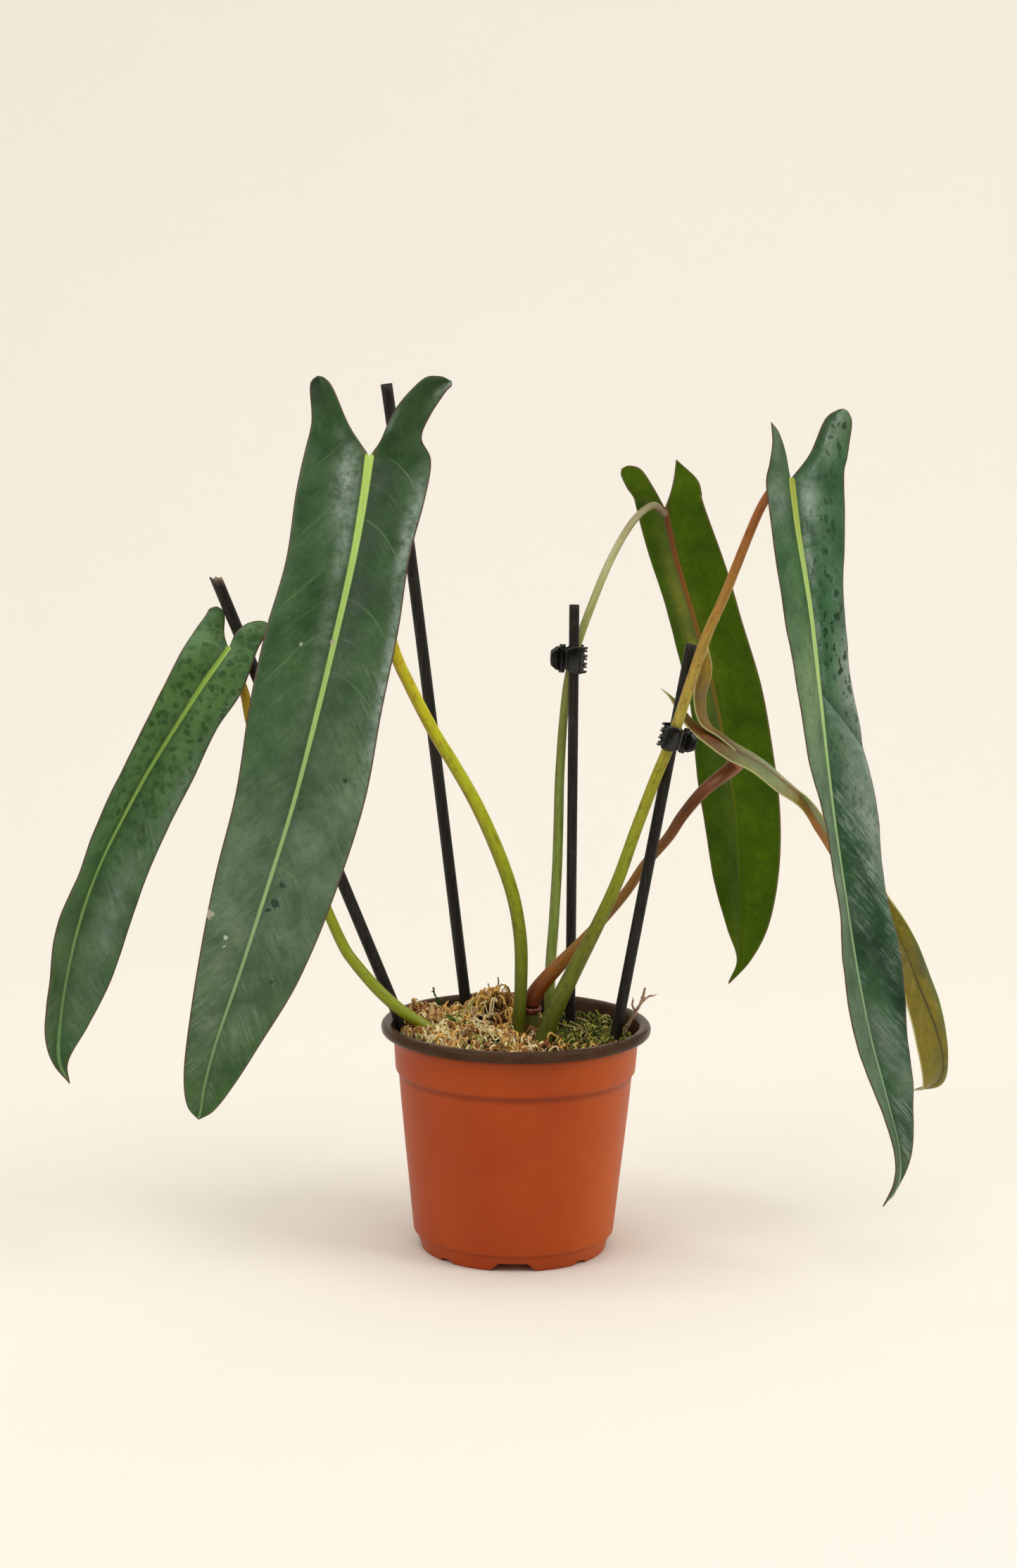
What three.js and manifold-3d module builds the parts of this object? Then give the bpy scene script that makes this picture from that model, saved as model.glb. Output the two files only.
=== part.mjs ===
// Potted philodendron spiritus-sancti: five long arrow-shaped leaves on slender petioles in a 12 cm
// nursery pot, with four support stakes and two spring claw clips that hold petioles to the stakes.
// Millimetres, +Z up, +X to the viewer's right, -Y towards the viewer.
// The origin is the middle of the pot's underside.

import * as THREE from 'three';
import { mergeVertices } from 'three/addons/utils/BufferGeometryUtils.js';
import Module from 'manifold-3d';

const wasm = await Module();
wasm.setup();

// Driving dimensions

const CLEARANCE = 0.3;            // air between two pieces that touch on the real plant
const ROD_RADIUS = 0.5;           // of a stem before it is widened to its own radius

const POT = {
  lipRadius: 60,                  // a 12 cm pot across its rolled lip
  lipTop: 102.3,
  lipUnderside: 97.4,
  mouthRadius: 54.8,
  collarTopRadius: 55,
  collarRadius: 53.5,
  collarBottom: 80.5,
  wallTopRadius: 52.1,
  wallBottomRadius: 44.9,
  stepHeight: 8.4,
  footTopRadius: 43.3,
  footRadius: 41.7,
  wall: 1.4,
  floorTop: 4.6,
  channelTop: 3,                  // the underside between the middle pad and the foot ring
  padRadius: 13,
  footInnerRadius: 35,
  facets: 40,
};
const FOOT_NOTCHES = [
  { turn: 0, height: 3.8, topWidth: 12.4, bottomWidth: 20.4 },
  { turn: 45, height: 1.6, topWidth: 4.5, bottomWidth: 8 },
];
const DRAIN = { count: 6, radius: 3.2, ring: 24 };

const SOIL_TOP = 90;
const MOUND_LIMIT = 51.6;         // how far out from the pot's axis the moss may lie

const BLADE_HALF_THICKNESS = 0.36;
const BLADE_COLUMNS = [0, 0.12, 0.4, 0.72, 1];
const BLADE_ROWS_PER_POINT = 2;
const SEAT_GAP = 0.4;             // from the back of a blade's rib to the end of its petiole

const CLIP = {
  plate: 1,
  halfWidth: 4,                   // from the middle of the grip to the middle of a side plate
  hinge: 5.3,                     // from the middle of the grip to the hinge pin
  knuckleRadius: 1.4,
  pinRadius: 0.5,
  knuckle: 0.2,                   // of the clip's length, along the hinge
  toothWidth: 0.1,                // of the clip's length, along the hinge
  toothPitch: 0.14,               // from a tooth of one jaw to the next of the other, likewise
  tabReach: 4.4,
  tabFlare: 4.4,
  tabHeight: 0.84,                // of the clip's length
};

// The five leaves. Every blade is a net: for each point of its rib, from the sinus where the petiole
// is attached to the tip, there is one margin point on either side of it. The two lobes run back
// from the sinus, each from its tip, as pairs of a point on the sinus edge and one on the outer edge.

const FRONT_LEAF = {
  rib: [[-65, -26, 352], [-67.5, -31, 332], [-71.5, -38, 307.5], [-78, -45, 277], [-85, -52, 246.5],
    [-94.5, -59, 208.5], [-105, -65, 173.5], [-116, -70, 138.5], [-126, -73, 108.5], [-130.5, -75, 91],
    [-132, -76, 81], [-133, -76, 76.5]],
  left: [[-92, -29, 354.5], [-95.5, -35, 335.5], [-99, -43, 309], [-107, -51, 279], [-113, -59, 249],
    [-118, -66, 213.5], [-126.5, -71, 178], [-133, -75, 142.5], [-137.5, -77, 111.5], [-139, -77, 94],
    [-137.5, -77, 82.5]],
  right: [[-39, -30, 350.5], [-41.5, -35, 334], [-47.5, -42, 310], [-51.5, -49, 281], [-58, -56, 247.5],
    [-64.5, -63, 210.5], [-76.5, -69, 172], [-91, -73, 136.5], [-109.5, -75, 105], [-118.5, -76, 91],
    [-126.5, -76, 80.5]],
  leftLobe: { tip: [-87, -24, 385.5], pairs: [[[-84, -24.3, 384.4], [-89.4, -24, 383.8]],
    [[-80.5, -25, 380], [-90.5, -24, 380]],
    [[-74, -26, 365.5], [-89.5, -27, 366.5]]] },
  rightLobe: { tip: [-30.5, -33, 384], pairs: [[[-35.5, -32.4, 386], [-30.6, -33, 382]],
    [[-43, -31, 384.5], [-33, -33, 379.5]],
    [[-54, -28, 372.5], [-39.5, -32, 369.5]], [[-60.5, -27, 359], [-43, -31, 360]]] },
  ribHalf: [1.3, 0.5],
  arch: 0.06,
  seat: { side: 1, down: 0.2 },
};

const LEFT_LEAF = {
  rib: [[-126.5, -9, 268], [-137, -13, 253.5], [-148.5, -17, 235.5], [-160.5, -21, 216], [-172, -25, 194.5],
    [-181.5, -29, 174.5], [-189, -32, 152.5], [-194.5, -35, 128.5], [-197.5, -37, 105.5], [-197.5, -38, 91],
    [-193, -38, 81]],
  left: [[-144.5, -13, 270.5], [-150, -20, 259.5], [-158.5, -27, 241], [-169, -32, 220.5],
    [-179.5, -37, 196.5], [-187.5, -41, 175], [-196, -44, 154], [-200.5, -45, 129.5], [-202.5, -43, 105],
    [-200, -40, 91]],
  right: [[-114, -13, 267.5], [-121, -14, 249], [-131.5, -16, 233], [-141.5, -18, 212], [-151.5, -21, 191],
    [-160.5, -25, 171], [-167.5, -29, 149.5], [-175.5, -33, 126], [-185.5, -36, 105.5], [-193.5, -38, 91]],
  leftLobe: { tip: [-133, 2, 285.5], pairs: [[[-130.8, 1.6, 284], [-135.8, 1.3, 284.4]],
    [[-129.5, 1, 281], [-137.5, 0, 281.5]],
    [[-128, -3, 275], [-141.5, -6, 275.5]]] },
  rightLobe: { tip: [-110.5, -8, 279.5], pairs: [[[-113.2, -8.4, 279.8], [-110.6, -9.4, 277.6]],
    [[-117, -9, 277.5], [-112, -11, 275]],
    [[-122, -9, 273.5], [-113, -12, 271.5]]] },
  ribHalf: [1.1, 0.5],
  arch: 0.06,
  seat: { side: 1, down: 0.2 },
};

const RIGHT_LEAF = {
  rib: [[111.5, -42, 345], [114.5, -46, 322.5], [119.5, -50, 293.5], [123.5, -54, 264], [127, -58, 235],
    [131, -61, 206], [136, -64, 176], [141.5, -66, 145.5], [148, -68, 115.5], [156, -70, 87.5],
    [162, -71, 65], [162.5, -70, 50], [156.5, -69, 40]],
  left: [[101, -52, 343], [103, -59, 321.5], [108, -65, 294], [113, -70, 265.5], [118.5, -75, 237],
    [125, -79, 208], [131.5, -82, 179.5], [134.5, -82, 149], [140.5, -81, 118], [151, -79, 88],
    [159.5, -75, 64.5], [160.5, -72, 51.5]],
  right: [[134, -39, 345.5], [135, -41, 322], [136, -42, 293], [138.5, -44, 265], [144.5, -48, 236.5],
    [150.5, -52, 207.5], [155, -55, 176.5], [162, -58, 145], [165.5, -62, 115.5], [168, -66, 86.5],
    [167.5, -70, 63], [163, -70, 49.5]],
  leftLobe: { tip: [103, -43, 369], pairs: [[[106.5, -42, 364.5], [103.5, -45, 360.5]],
    [[109.5, -42, 355], [102, -49, 351.5]]] },
  rightLobe: { tip: [134, -36, 374], pairs: [[[130.5, -36.7, 373.4], [136, -36.3, 372]],
    [[125.5, -38, 369.5], [137, -37, 367.5]],
    [[119.5, -40, 355.5], [135.5, -38, 355]]] },
  ribHalf: [1.3, 0.5],
  arch: 0.05,
  seat: { side: 1, down: 0.2 },
};

const BACK_LEAF = {
  rib: [[65, 62, 327], [71, 66, 303.5], [80.5, 70, 274.5], [89.5, 73, 244.5], [96, 75, 216],
    [101.5, 77, 186.5], [104, 78, 158], [105.5, 78, 131], [105, 78, 115], [100.5, 77, 103]],
  left: [[52.5, 70, 326], [60.5, 77, 301], [69.5, 82, 273.5], [78.5, 86, 242], [83, 88, 210.5],
    [87.5, 89, 181.5], [92.5, 88, 154], [99.5, 84, 128.5], [104, 80, 114.5]],
  right: [[82.5, 62, 329.5], [92.5, 66, 304], [101.5, 70, 277], [111.5, 73, 246.5], [118, 76, 216.5],
    [122.5, 78, 186.5], [123, 79, 158], [119, 79, 132], [111, 78, 115]],
  leftLobe: { tip: [45, 61, 345], pairs: [[[48.5, 61, 346.3], [44.8, 61.3, 342]],
    [[54, 61, 344.5], [47.5, 62, 336.5]],
    [[59.5, 61, 336.5], [51, 64, 331.5]]] },
  rightLobe: { tip: [69.5, 59, 349.5], pairs: [[[68.5, 60, 340.5], [79, 61, 341]],
    [[67, 61, 333], [81.5, 62, 334.5]]] },
  ribHalf: [1.2, 0.5],
  arch: -0.05,
  seat: { side: -1, down: 0.05 },
};

const YOUNG_LEAF = {
  rib: [[97, 20, 221.5], [107, 20, 216.5], [117.5, 18, 209], [128, 14, 200], [136.5, 9, 188],
    [148.5, 4, 173], [160.5, 1, 157.5], [170.5, 0, 139], [178.5, 1, 120.5], [186, 4, 103.5],
    [191.5, 8, 86.5], [191, 13, 74.5], [181, 20, 67.5]],
  left: [[93.5, 12, 223], [104.5, 11, 216], [114.5, 11, 206.5], [125.5, 14, 197.5], [134.5, 18, 184.5],
    [144, 10, 169], [154.5, -2, 155.5], [167, -6, 137.5], [171.5, -6, 117], [176.5, -4, 100.5],
    [180.5, 0, 86], [183, 8, 72.5]],
  right: [[99, 27, 223.5], [109, 28, 217], [120, 25, 208.5], [129, 10, 202], [138, 2, 191.5],
    [150.5, -4, 177.5], [163.5, -2, 161.5], [177.5, 6, 140.5], [186, 10, 120.5], [192, 10, 103.5],
    [194.5, 10, 87], [193, 16, 72]],
  leftLobe: { tip: [63, 26, 249], pairs: [[[71, 25, 242.5], [67, 24, 244.5]],
    [[79.5, 23, 233.5], [75, 20, 235]], [[89, 21, 227], [84, 15, 229]]] },
  rightLobe: { tip: [83, 17, 268.5], pairs: [[[78.5, 16, 257.5], [85, 20, 258]],
    [[77, 17, 245.5], [83, 24, 245]], [[80.5, 18, 234], [85, 26, 234]], [[89, 19, 228], [91.5, 27, 228.5]]] },
  ribHalf: [0.9, 0.45],
  arch: 0.04,
  seat: { side: 1, down: 0.2 },
};

// Round stems: the points of the middle line from the lower end up, and the radius along it.

const MAIN_STEM = { path: [[7, 2, 62], [6.5, 1.5, 84], [6.4, 1.5, 98], [6.6, 1.5, 106.6]], radius: [3.4, 3.6, 3.7] };
const STEM_RING = { centre: [6.6, 1.5, 107.4], radius: 4.9, height: 2.6 };

const FRONT_PETIOLE = {
  path: [[0.5, -5.2, 80], [0.5, -5.4, 96], [1.5, -5.4, 109.5], [2, -4, 122], [1.5, -1, 139.5], [-2, 2, 158.5],
    [-9, 4, 178], [-18.5, 5, 198.5], [-28.5, 5, 216], [-38, 4, 231.5], [-48.5, 1, 252], [-55, -2, 267],
    [-60, -6, 287.5], [-63.5, -10, 312], [-65, -13, 334]],
  radius: [2.6, 2.9, 3, 2.8, 2.6, 2.4, 2.2],
};
const LEFT_PETIOLE = {
  path: [[-21, -12, 82], [-27, -11, 91], [-35.5, -10, 98.5], [-43, -10, 103.5], [-52, -9, 109.5],
    [-62, -8, 118.5], [-72, -7, 130], [-77, -6, 137.5], [-84.5, -5, 154], [-93, -4, 175], [-104, -4, 200],
    [-111.5, -4, 218.5], [-117.5, -4, 234.5], [-121, -3.5, 250.5]],
  radius: [2.7, 2.7, 2.4, 2.2, 2.1, 2],
};
const RIGHT_PETIOLE = {
  path: [[8, -12, 81], [10.5, -14, 90], [12, -14, 96], [15, -13.4, 106], [20.5, -13, 118.5], [27, -12.4, 132],
    [36.5, -12.2, 151.5], [44, -12.2, 169.5], [51, -12.2, 190.5], [59, -12.2, 213], [64.5, -12.2, 227],
    [69, -12.2, 240.5], [74, -13, 257.5], [80, -16, 277], [86.5, -20, 293.5], [91.5, -24.5, 308],
    [96, -28, 321], [100.6, -31.5, 333], [105.5, -34.6, 341]],
  radius: [3.9, 3.9, 3, 2.6, 2.5, 2.4, 2.2, 2, 1.9],
};
const BACK_PETIOLE = {
  path: [[14, 12, 82], [15.2, 14, 94], [15.1, 15, 110], [15.3, 15.5, 125], [16.5, 17, 144], [17.6, 19, 168],
    [18, 20.6, 190], [18.2, 21.4, 208], [19.2, 22, 230], [20.6, 22.4, 247], [22, 22.8, 256], [23.6, 23, 262.5],
    [25.3, 23.5, 268.5], [28.2, 25.2, 277], [32, 28.4, 287], [36, 32.5, 297], [40.5, 37.5, 306.5], [45.5, 42.5, 315.5],
    [50.5, 47.5, 322.5], [55.5, 52, 327], [60.3, 55.6, 328.8]],
  radius: [2.4, 2.4, 2.3, 2.2, 1.9, 1.8, 1.7, 1.6],
};
const YOUNG_PETIOLE = {
  path: [[6.7, 1.5, 109.1], [6.9, 1.5, 111.6], [8.9, 1.4, 115.6], [12.7, 1.3, 120.6], [18, 1.6, 126.6], [27.5, 3, 136.5],
    [40, 5, 150], [48.5, 6, 160.5], [56.5, 7, 172.5], [66.5, 8, 184.5], [73, 9.5, 194.5], [82.5, 11.8, 205.5]],
  radius: [3.8, 3.4, 2.5, 2.2, 2.2, 2.2, 2.3, 2.5, 3.2],
};

const LEFT_STAKE = { path: [[-30.1, 0.2, 50], [-50.8, 0, 100], [-132.5, -2, 297.5]], radius: [2.65] };
const TALL_STAKE = { path: [[-15.9, 37.5, 45], [-23, 36, 102.5], [-46.4, 30, 284.5], [-60.5, 28, 382]], radius: [2.6] };
const MIDDLE_STAKE = { path: [[24.8, 18, 35], [24.5, 18, 108], [23.5, 18, 286.5]], radius: [2.25] };
const RIGHT_STAKE = { path: [[35.1, -7.1, 45], [43.5, -7, 94], [74, -6.7, 272]], radius: [2.5] };

const TWIG = {
  stem: { path: [[45.5, -3, 91], [48.5, -3, 99], [52, -3, 106], [55.5, -3, 112.5], [57, -3, 118.5]], radius: [1, 0.8, 0.5] },
  branches: [
    { path: [[55, -3, 111.5], [58.5, -2, 114.5], [61, -2, 115]], radius: [0.6, 0.4] },
    { path: [[53, -3, 108], [51.5, -4, 111], [51.8, -4.5, 113.5]], radius: [0.5, 0.4] },
  ],
};

// The two clips: where the middle of the grip is, the length along the hinge, how far the grip is from
// its middle to a jaw, which way the teeth point (+1 right, -1 left) and how far it leans in degrees.

const CLIPS = [
  { name: 'clip_middle', centre: [23.8, 20.5, 262.3], length: 12.6, depth: 5.1, side: 1, lean: 2 },
  { name: 'clip_right', centre: [66.5, -9.6, 231.6], length: 11, depth: 5.75, side: -1, lean: 14 },
];

// Colours

const paint = (color, roughness, metalness = 0) => new THREE.MeshStandardMaterial({ color, roughness, metalness });
const terracottaPlastic = paint(0xa8481f, 0.5);
const soilBrown = paint(0x2a1c14, 0.95);
const driedMoss = paint(0xb08a4a, 0.95);
const greenMoss = paint(0x5a6a24, 0.95);
const leafGreen = paint(0x274a2c, 0.4);
const backGreen = paint(0x3f5a10, 0.5);
const youngOlive = paint(0x8a7a20, 0.5);
const petioleGreen = paint(0x8a9a2c, 0.45);
const petioleBrown = paint(0x8a4a34, 0.5);
const stakeBlack = paint(0x1c1b1a, 0.6);
const clipBlack = paint(0x0c0c0c, 0.25);
const steel = paint(0x8a8a88, 0.3, 0.9);
const bark = paint(0x8a6a48, 0.9);

// Small helpers

const vec = (p) => new THREE.Vector3(...p);
const curveThrough = (points) => new THREE.CatmullRomCurve3(points.map(vec), false, 'catmullrom', 0.5);

function solidOf(geometry) {
  const bare = geometry.index ? geometry.clone() : geometry;
  for (const name of Object.keys(bare.attributes)) {
    if (name !== 'position') bare.deleteAttribute(name);
  }
  const merged = mergeVertices(bare, 1e-4);
  return new wasm.Manifold(new wasm.Mesh({
    numProp: 3,
    vertProperties: new Float32Array(merged.attributes.position.array),
    triVerts: new Uint32Array(merged.index.array),
  }));
}

function geometryOf(solid) {
  const mesh = solid.getMesh();
  const geometry = new THREE.BufferGeometry();
  geometry.setAttribute('position', new THREE.BufferAttribute(new Float32Array(mesh.vertProperties), 3));
  geometry.setIndex(new THREE.BufferAttribute(new Uint32Array(mesh.triVerts), 1));
  geometry.computeVertexNormals();
  return geometry;
}

const joined = (solids) => solids.reduce((all, one) => all.add(one));
const cutBy = (solid, tools) => tools.reduce((left, tool) => left.subtract(tool), solid);

function meshFrom(positions, triangles) {
  const geometry = new THREE.BufferGeometry();
  geometry.setAttribute('position', new THREE.Float32BufferAttribute(positions.flatMap((p) => p.toArray()), 3));
  geometry.setIndex(triangles.flat());
  return geometry;
}

function along(values, t) {
  const place = t * (values.length - 1);
  const i = Math.min(Math.floor(place), values.length - 2);
  return values.length === 1 ? values[0] : values[i] + (values[i + 1] - values[i]) * (place - i);
}

// A round stem or stake, extruded along its path as a thin rod and then widened ring by ring to its
// radius. grow widens it and lengthens both ends, which gives the hole that it stands in.
function roundStem({ path, radius }, sides, steps, grow = 0) {
  const points = path.map(vec);
  const last = points.length - 1;
  if (grow > 0) {
    points[0].addScaledVector(points[0].clone().sub(points[1]).normalize(), grow);
    points[last].addScaledVector(points[last].clone().sub(points[last - 1]).normalize(), grow);
  }
  const curve = new THREE.CatmullRomCurve3(points, false, 'catmullrom', 0.5);
  const section = new THREE.Shape(Array.from({ length: sides }, (_, k) => {
    const angle = (2 * Math.PI * k) / sides;
    return new THREE.Vector2(ROD_RADIUS * Math.cos(angle), ROD_RADIUS * Math.sin(angle));
  }));
  const geometry = new THREE.ExtrudeGeometry(section, { steps, extrudePath: curve });
  const centres = curve.getSpacedPoints(steps);
  const position = geometry.attributes.position;
  const vertex = new THREE.Vector3();
  for (let i = 0; i < position.count; i += 1) {
    vertex.fromBufferAttribute(position, i);
    const gaps = centres.map((centre) => centre.distanceToSquared(vertex));
    const ring = gaps.indexOf(Math.min(...gaps));
    const widen = (along(radius, ring / steps) + grow) / ROD_RADIUS;
    vertex.sub(centres[ring]).multiplyScalar(widen).add(centres[ring]);
    position.setXYZ(i, vertex.x, vertex.y, vertex.z);
  }
  return geometry;
}

// Repeatable unevenness between -1 and 1, from a few crossed waves
function uneven(x, y, size) {
  const a = Math.sin((x * 1.7 + y * 0.9) / size + 1.3);
  const b = Math.sin((y * 1.9 - x * 0.8) / size + 4.1);
  const c = Math.sin((x + y) * 1.35 / size) * Math.cos((x - y) * 1.1 / size);
  return (a + b + c) / 3;
}

// Pot: one turned body with a rolled lip, a stepped collar, a tapered wall and a foot ring that is
// cut away in four wide drainage notches and four small ones. A flat pad in the middle of the floor rests with the ring.

function potBody() {
  const p = POT;
  const innerFoot = p.wallBottomRadius - p.wall;
  const profile = [
    [0, 0], [p.padRadius, 0], [p.padRadius + 1, p.channelTop],
    [p.footInnerRadius - 1, p.channelTop], [p.footInnerRadius, 0],
    [p.footRadius - 1, 0], [p.footRadius, 0.8], [p.footTopRadius, p.stepHeight - 1.8],
    [p.wallBottomRadius - 0.2, p.stepHeight - 0.9], [p.wallBottomRadius, p.stepHeight + 0.6],
    [p.wallTopRadius, p.collarBottom - 1], [p.collarRadius, p.collarBottom + 0.6],
    [p.collarTopRadius, p.lipUnderside - 0.2], [p.lipRadius - 1.6, p.lipUnderside],
    [p.lipRadius - 0.3, p.lipUnderside + 1.1], [p.lipRadius, p.lipUnderside + 2.6],
    [p.lipRadius - 1, p.lipTop - 0.6], [p.lipRadius - 2.4, p.lipTop], [p.mouthRadius + 0.8, p.lipTop - 0.3],
    [p.mouthRadius, p.lipTop - 1.2], [p.collarTopRadius - p.wall, p.lipUnderside - 1],
    [p.collarRadius - p.wall, p.collarBottom + 0.6], [p.wallTopRadius - p.wall, p.collarBottom - 1],
    [innerFoot, p.stepHeight + 0.6], [innerFoot - 2, p.floorTop], [0, p.floorTop],
  ].map(([r, z]) => new THREE.Vector2(r, z));
  const turned = new THREE.LatheGeometry(profile, p.facets);
  turned.rotateX(Math.PI / 2);
  const notches = [];
  for (const { turn, height, topWidth, bottomWidth } of FOOT_NOTCHES) {
    const outline = new THREE.Shape([
      new THREE.Vector2(-bottomWidth / 2, -1), new THREE.Vector2(bottomWidth / 2, -1),
      new THREE.Vector2(topWidth / 2, height), new THREE.Vector2(-topWidth / 2, height),
    ]);
    for (let quarter = 0; quarter < 4; quarter += 1) {
      const wedge = new THREE.ExtrudeGeometry(outline, { depth: 12, bevelEnabled: false });
      wedge.rotateX(Math.PI / 2);
      wedge.translate(0, -p.footInnerRadius + 1.5, 0);
      wedge.rotateZ(THREE.MathUtils.degToRad(turn + 90 * quarter));
      notches.push(solidOf(wedge));
    }
  }
  for (let i = 0; i < DRAIN.count; i += 1) {
    const hole = new THREE.CylinderGeometry(DRAIN.radius, DRAIN.radius, 6, 16);
    hole.rotateX(Math.PI / 2);
    hole.translate(DRAIN.ring, 0, p.floorTop - 1);
    hole.rotateZ((2 * Math.PI * (i + 0.5)) / DRAIN.count);
    notches.push(solidOf(hole));
  }
  return cutBy(solidOf(turned), notches);
}

function soilBody() {
  const p = POT;
  const gap = p.wall + CLEARANCE;
  const profile = [
    [0, p.floorTop + CLEARANCE], [p.wallBottomRadius - gap - 2.2, p.floorTop + CLEARANCE],
    [p.wallBottomRadius - gap, p.stepHeight + 0.8], [p.wallTopRadius - gap, p.collarBottom - 0.8],
    [p.collarRadius - gap, p.collarBottom + 0.8], [p.collarRadius - gap + 0.7, SOIL_TOP], [0, SOIL_TOP],
  ].map(([r, z]) => new THREE.Vector2(r, z));
  const turned = new THREE.LatheGeometry(profile, p.facets);
  turned.rotateX(Math.PI / 2);
  return solidOf(turned);
}

// A mound of moss on the soil: spokes from its middle out to its outline, over a flat underside.
function mound({ centre, reach, height, spokes, rings }) {
  const base = SOIL_TOP + CLEARANCE;
  const points = [];
  const layer = (z) => {
    const start = points.length;
    points.push(new THREE.Vector3(centre[0], centre[1], z(centre[0], centre[1])));
    for (let j = 1; j <= rings; j += 1) {
      for (let i = 0; i < spokes; i += 1) {
        const angle = (2 * Math.PI * i) / spokes;
        const r = (reach(angle) * j) / rings;
        const x = centre[0] + r * Math.cos(angle);
        const y = centre[1] + r * Math.sin(angle);
        points.push(new THREE.Vector3(x, y, z(x, y)));
      }
    }
    return start;
  };
  const top = layer((x, y) => base + height(x, y));
  const low = points.push(new THREE.Vector3(centre[0], centre[1], base)) - 1;
  const rim = points.length;
  for (let i = 0; i < spokes; i += 1) {
    const angle = (2 * Math.PI * i) / spokes;
    points.push(new THREE.Vector3(centre[0] + reach(angle) * Math.cos(angle),
      centre[1] + reach(angle) * Math.sin(angle), base));
  }
  const triangles = [];
  const at = (j, i) => top + 1 + (j - 1) * spokes + (i % spokes);
  for (let i = 0; i < spokes; i += 1) {
    triangles.push([top, at(1, i), at(1, i + 1)]);
    for (let j = 1; j < rings; j += 1) {
      triangles.push([at(j, i), at(j + 1, i), at(j + 1, i + 1)], [at(j, i), at(j + 1, i + 1), at(j, i + 1)]);
    }
    const a = rim + i;
    const b = rim + ((i + 1) % spokes);
    triangles.push([at(rings, i), a, b], [at(rings, i), b, at(rings, i + 1)], [low, b, a]);
  }
  return solidOf(meshFrom(points, triangles));
}

const hump = (x, y, [cx, cy], [sx, sy], h) => h * Math.exp(-(((x - cx) / sx) ** 2) - ((y - cy) / sy) ** 2);

// How far a ray from a point goes before it leaves the pot's mouth or crosses one of the walls,
// each given as [a, b, c] for a x + b y <= c
function rayReach([cx, cy], angle, walls) {
  const dx = Math.cos(angle);
  const dy = Math.sin(angle);
  const b = cx * dx + cy * dy;
  let reach = -b + Math.sqrt(b * b - cx * cx - cy * cy + MOUND_LIMIT ** 2);
  for (const [wx, wy, c] of walls) {
    const rate = wx * dx + wy * dy;
    if (rate > 1e-6) reach = Math.min(reach, (c - wx * cx - wy * cy) / rate);
  }
  return reach;
}

const SPHAGNUM_MIDDLE = [-19, -7];
const GREEN_MIDDLE = [32, 0];

const sphagnumMound = () => mound({
  centre: SPHAGNUM_MIDDLE,
  reach: (angle) => rayReach(SPHAGNUM_MIDDLE, angle, [[1, 0.05, 13], [0, 1, 29], [0.7, 0.7, 24], [-0.7, 0.7, 38]]),
  height: (x, y) => 6 + hump(x, y, [-10, 17], [14, 10], 14) + hump(x, y, [-42, 6], [11, 14], 7.5)
    + hump(x, y, [-16, -28], [26, 14], 4) + 1.1 * uneven(x, y, 3.4),
  spokes: 30,
  rings: 6,
});

const greenMound = () => mound({
  centre: GREEN_MIDDLE,
  reach: (angle) => rayReach(GREEN_MIDDLE, angle, [[-1, -0.05, -14], [0, 1, 38]]),
  height: (x, y) => 5 + hump(x, y, [30, 26], [13, 12], 3) + hump(x, y, [20, -30], [12, 12], 2.5)
    + 0.9 * uneven(x + 20, y, 3.1),
  spokes: 26,
  rings: 5,
});

// Blades

function halfRows(leaf, side, perPoint) {
  const lobe = side > 0 ? leaf.rightLobe : leaf.leftLobe;
  const margin = side > 0 ? leaf.right : leaf.left;
  const tip = leaf.rib[leaf.rib.length - 1];
  const lobeSteps = lobe.pairs.length + 1;
  const sinusEdge = curveThrough([lobe.tip, ...lobe.pairs.map((pair) => pair[0]), leaf.rib[0]]);
  const rib = curveThrough(leaf.rib);
  const outer = curveThrough([lobe.tip, ...lobe.pairs.map((pair) => pair[1]), ...margin, tip]);
  const steps = lobeSteps + leaf.rib.length - 1;
  const rows = [];
  for (let j = 0; j <= steps * perPoint; j += 1) {
    const t = j / perPoint;
    const inner = t <= lobeSteps
      ? sinusEdge.getPoint(t / lobeSteps)
      : rib.getPoint((t - lobeSteps) / (leaf.rib.length - 1));
    rows.push({ inner, outer: outer.getPoint(t / steps), onRib: t >= lobeSteps, down: (t - lobeSteps) / (steps - lobeSteps) });
  }
  return rows;
}

// One half of the blade as a grid of points, arched between rib and margin
function halfGrid(leaf, side, perPoint, columns) {
  const rows = halfRows(leaf, side, perPoint);
  return rows.map(({ inner, outer, onRib, down }, j) => {
    const across = outer.clone().sub(inner);
    const next = rows[Math.min(j + 1, rows.length - 1)].outer;
    const back = rows[Math.max(j - 1, 0)].outer;
    const normal = next.clone().sub(back).cross(across).multiplyScalar(side).normalize();
    return columns.map((u) => ({
      point: inner.clone().addScaledVector(across, u)
        .addScaledVector(normal, leaf.arch * across.length() * 4 * u * (1 - u)),
      half: onRib && u === 0 ? leaf.ribHalf[0] + (leaf.ribHalf[1] - leaf.ribHalf[0]) * down : BLADE_HALF_THICKNESS,
    }));
  });
}

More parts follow.
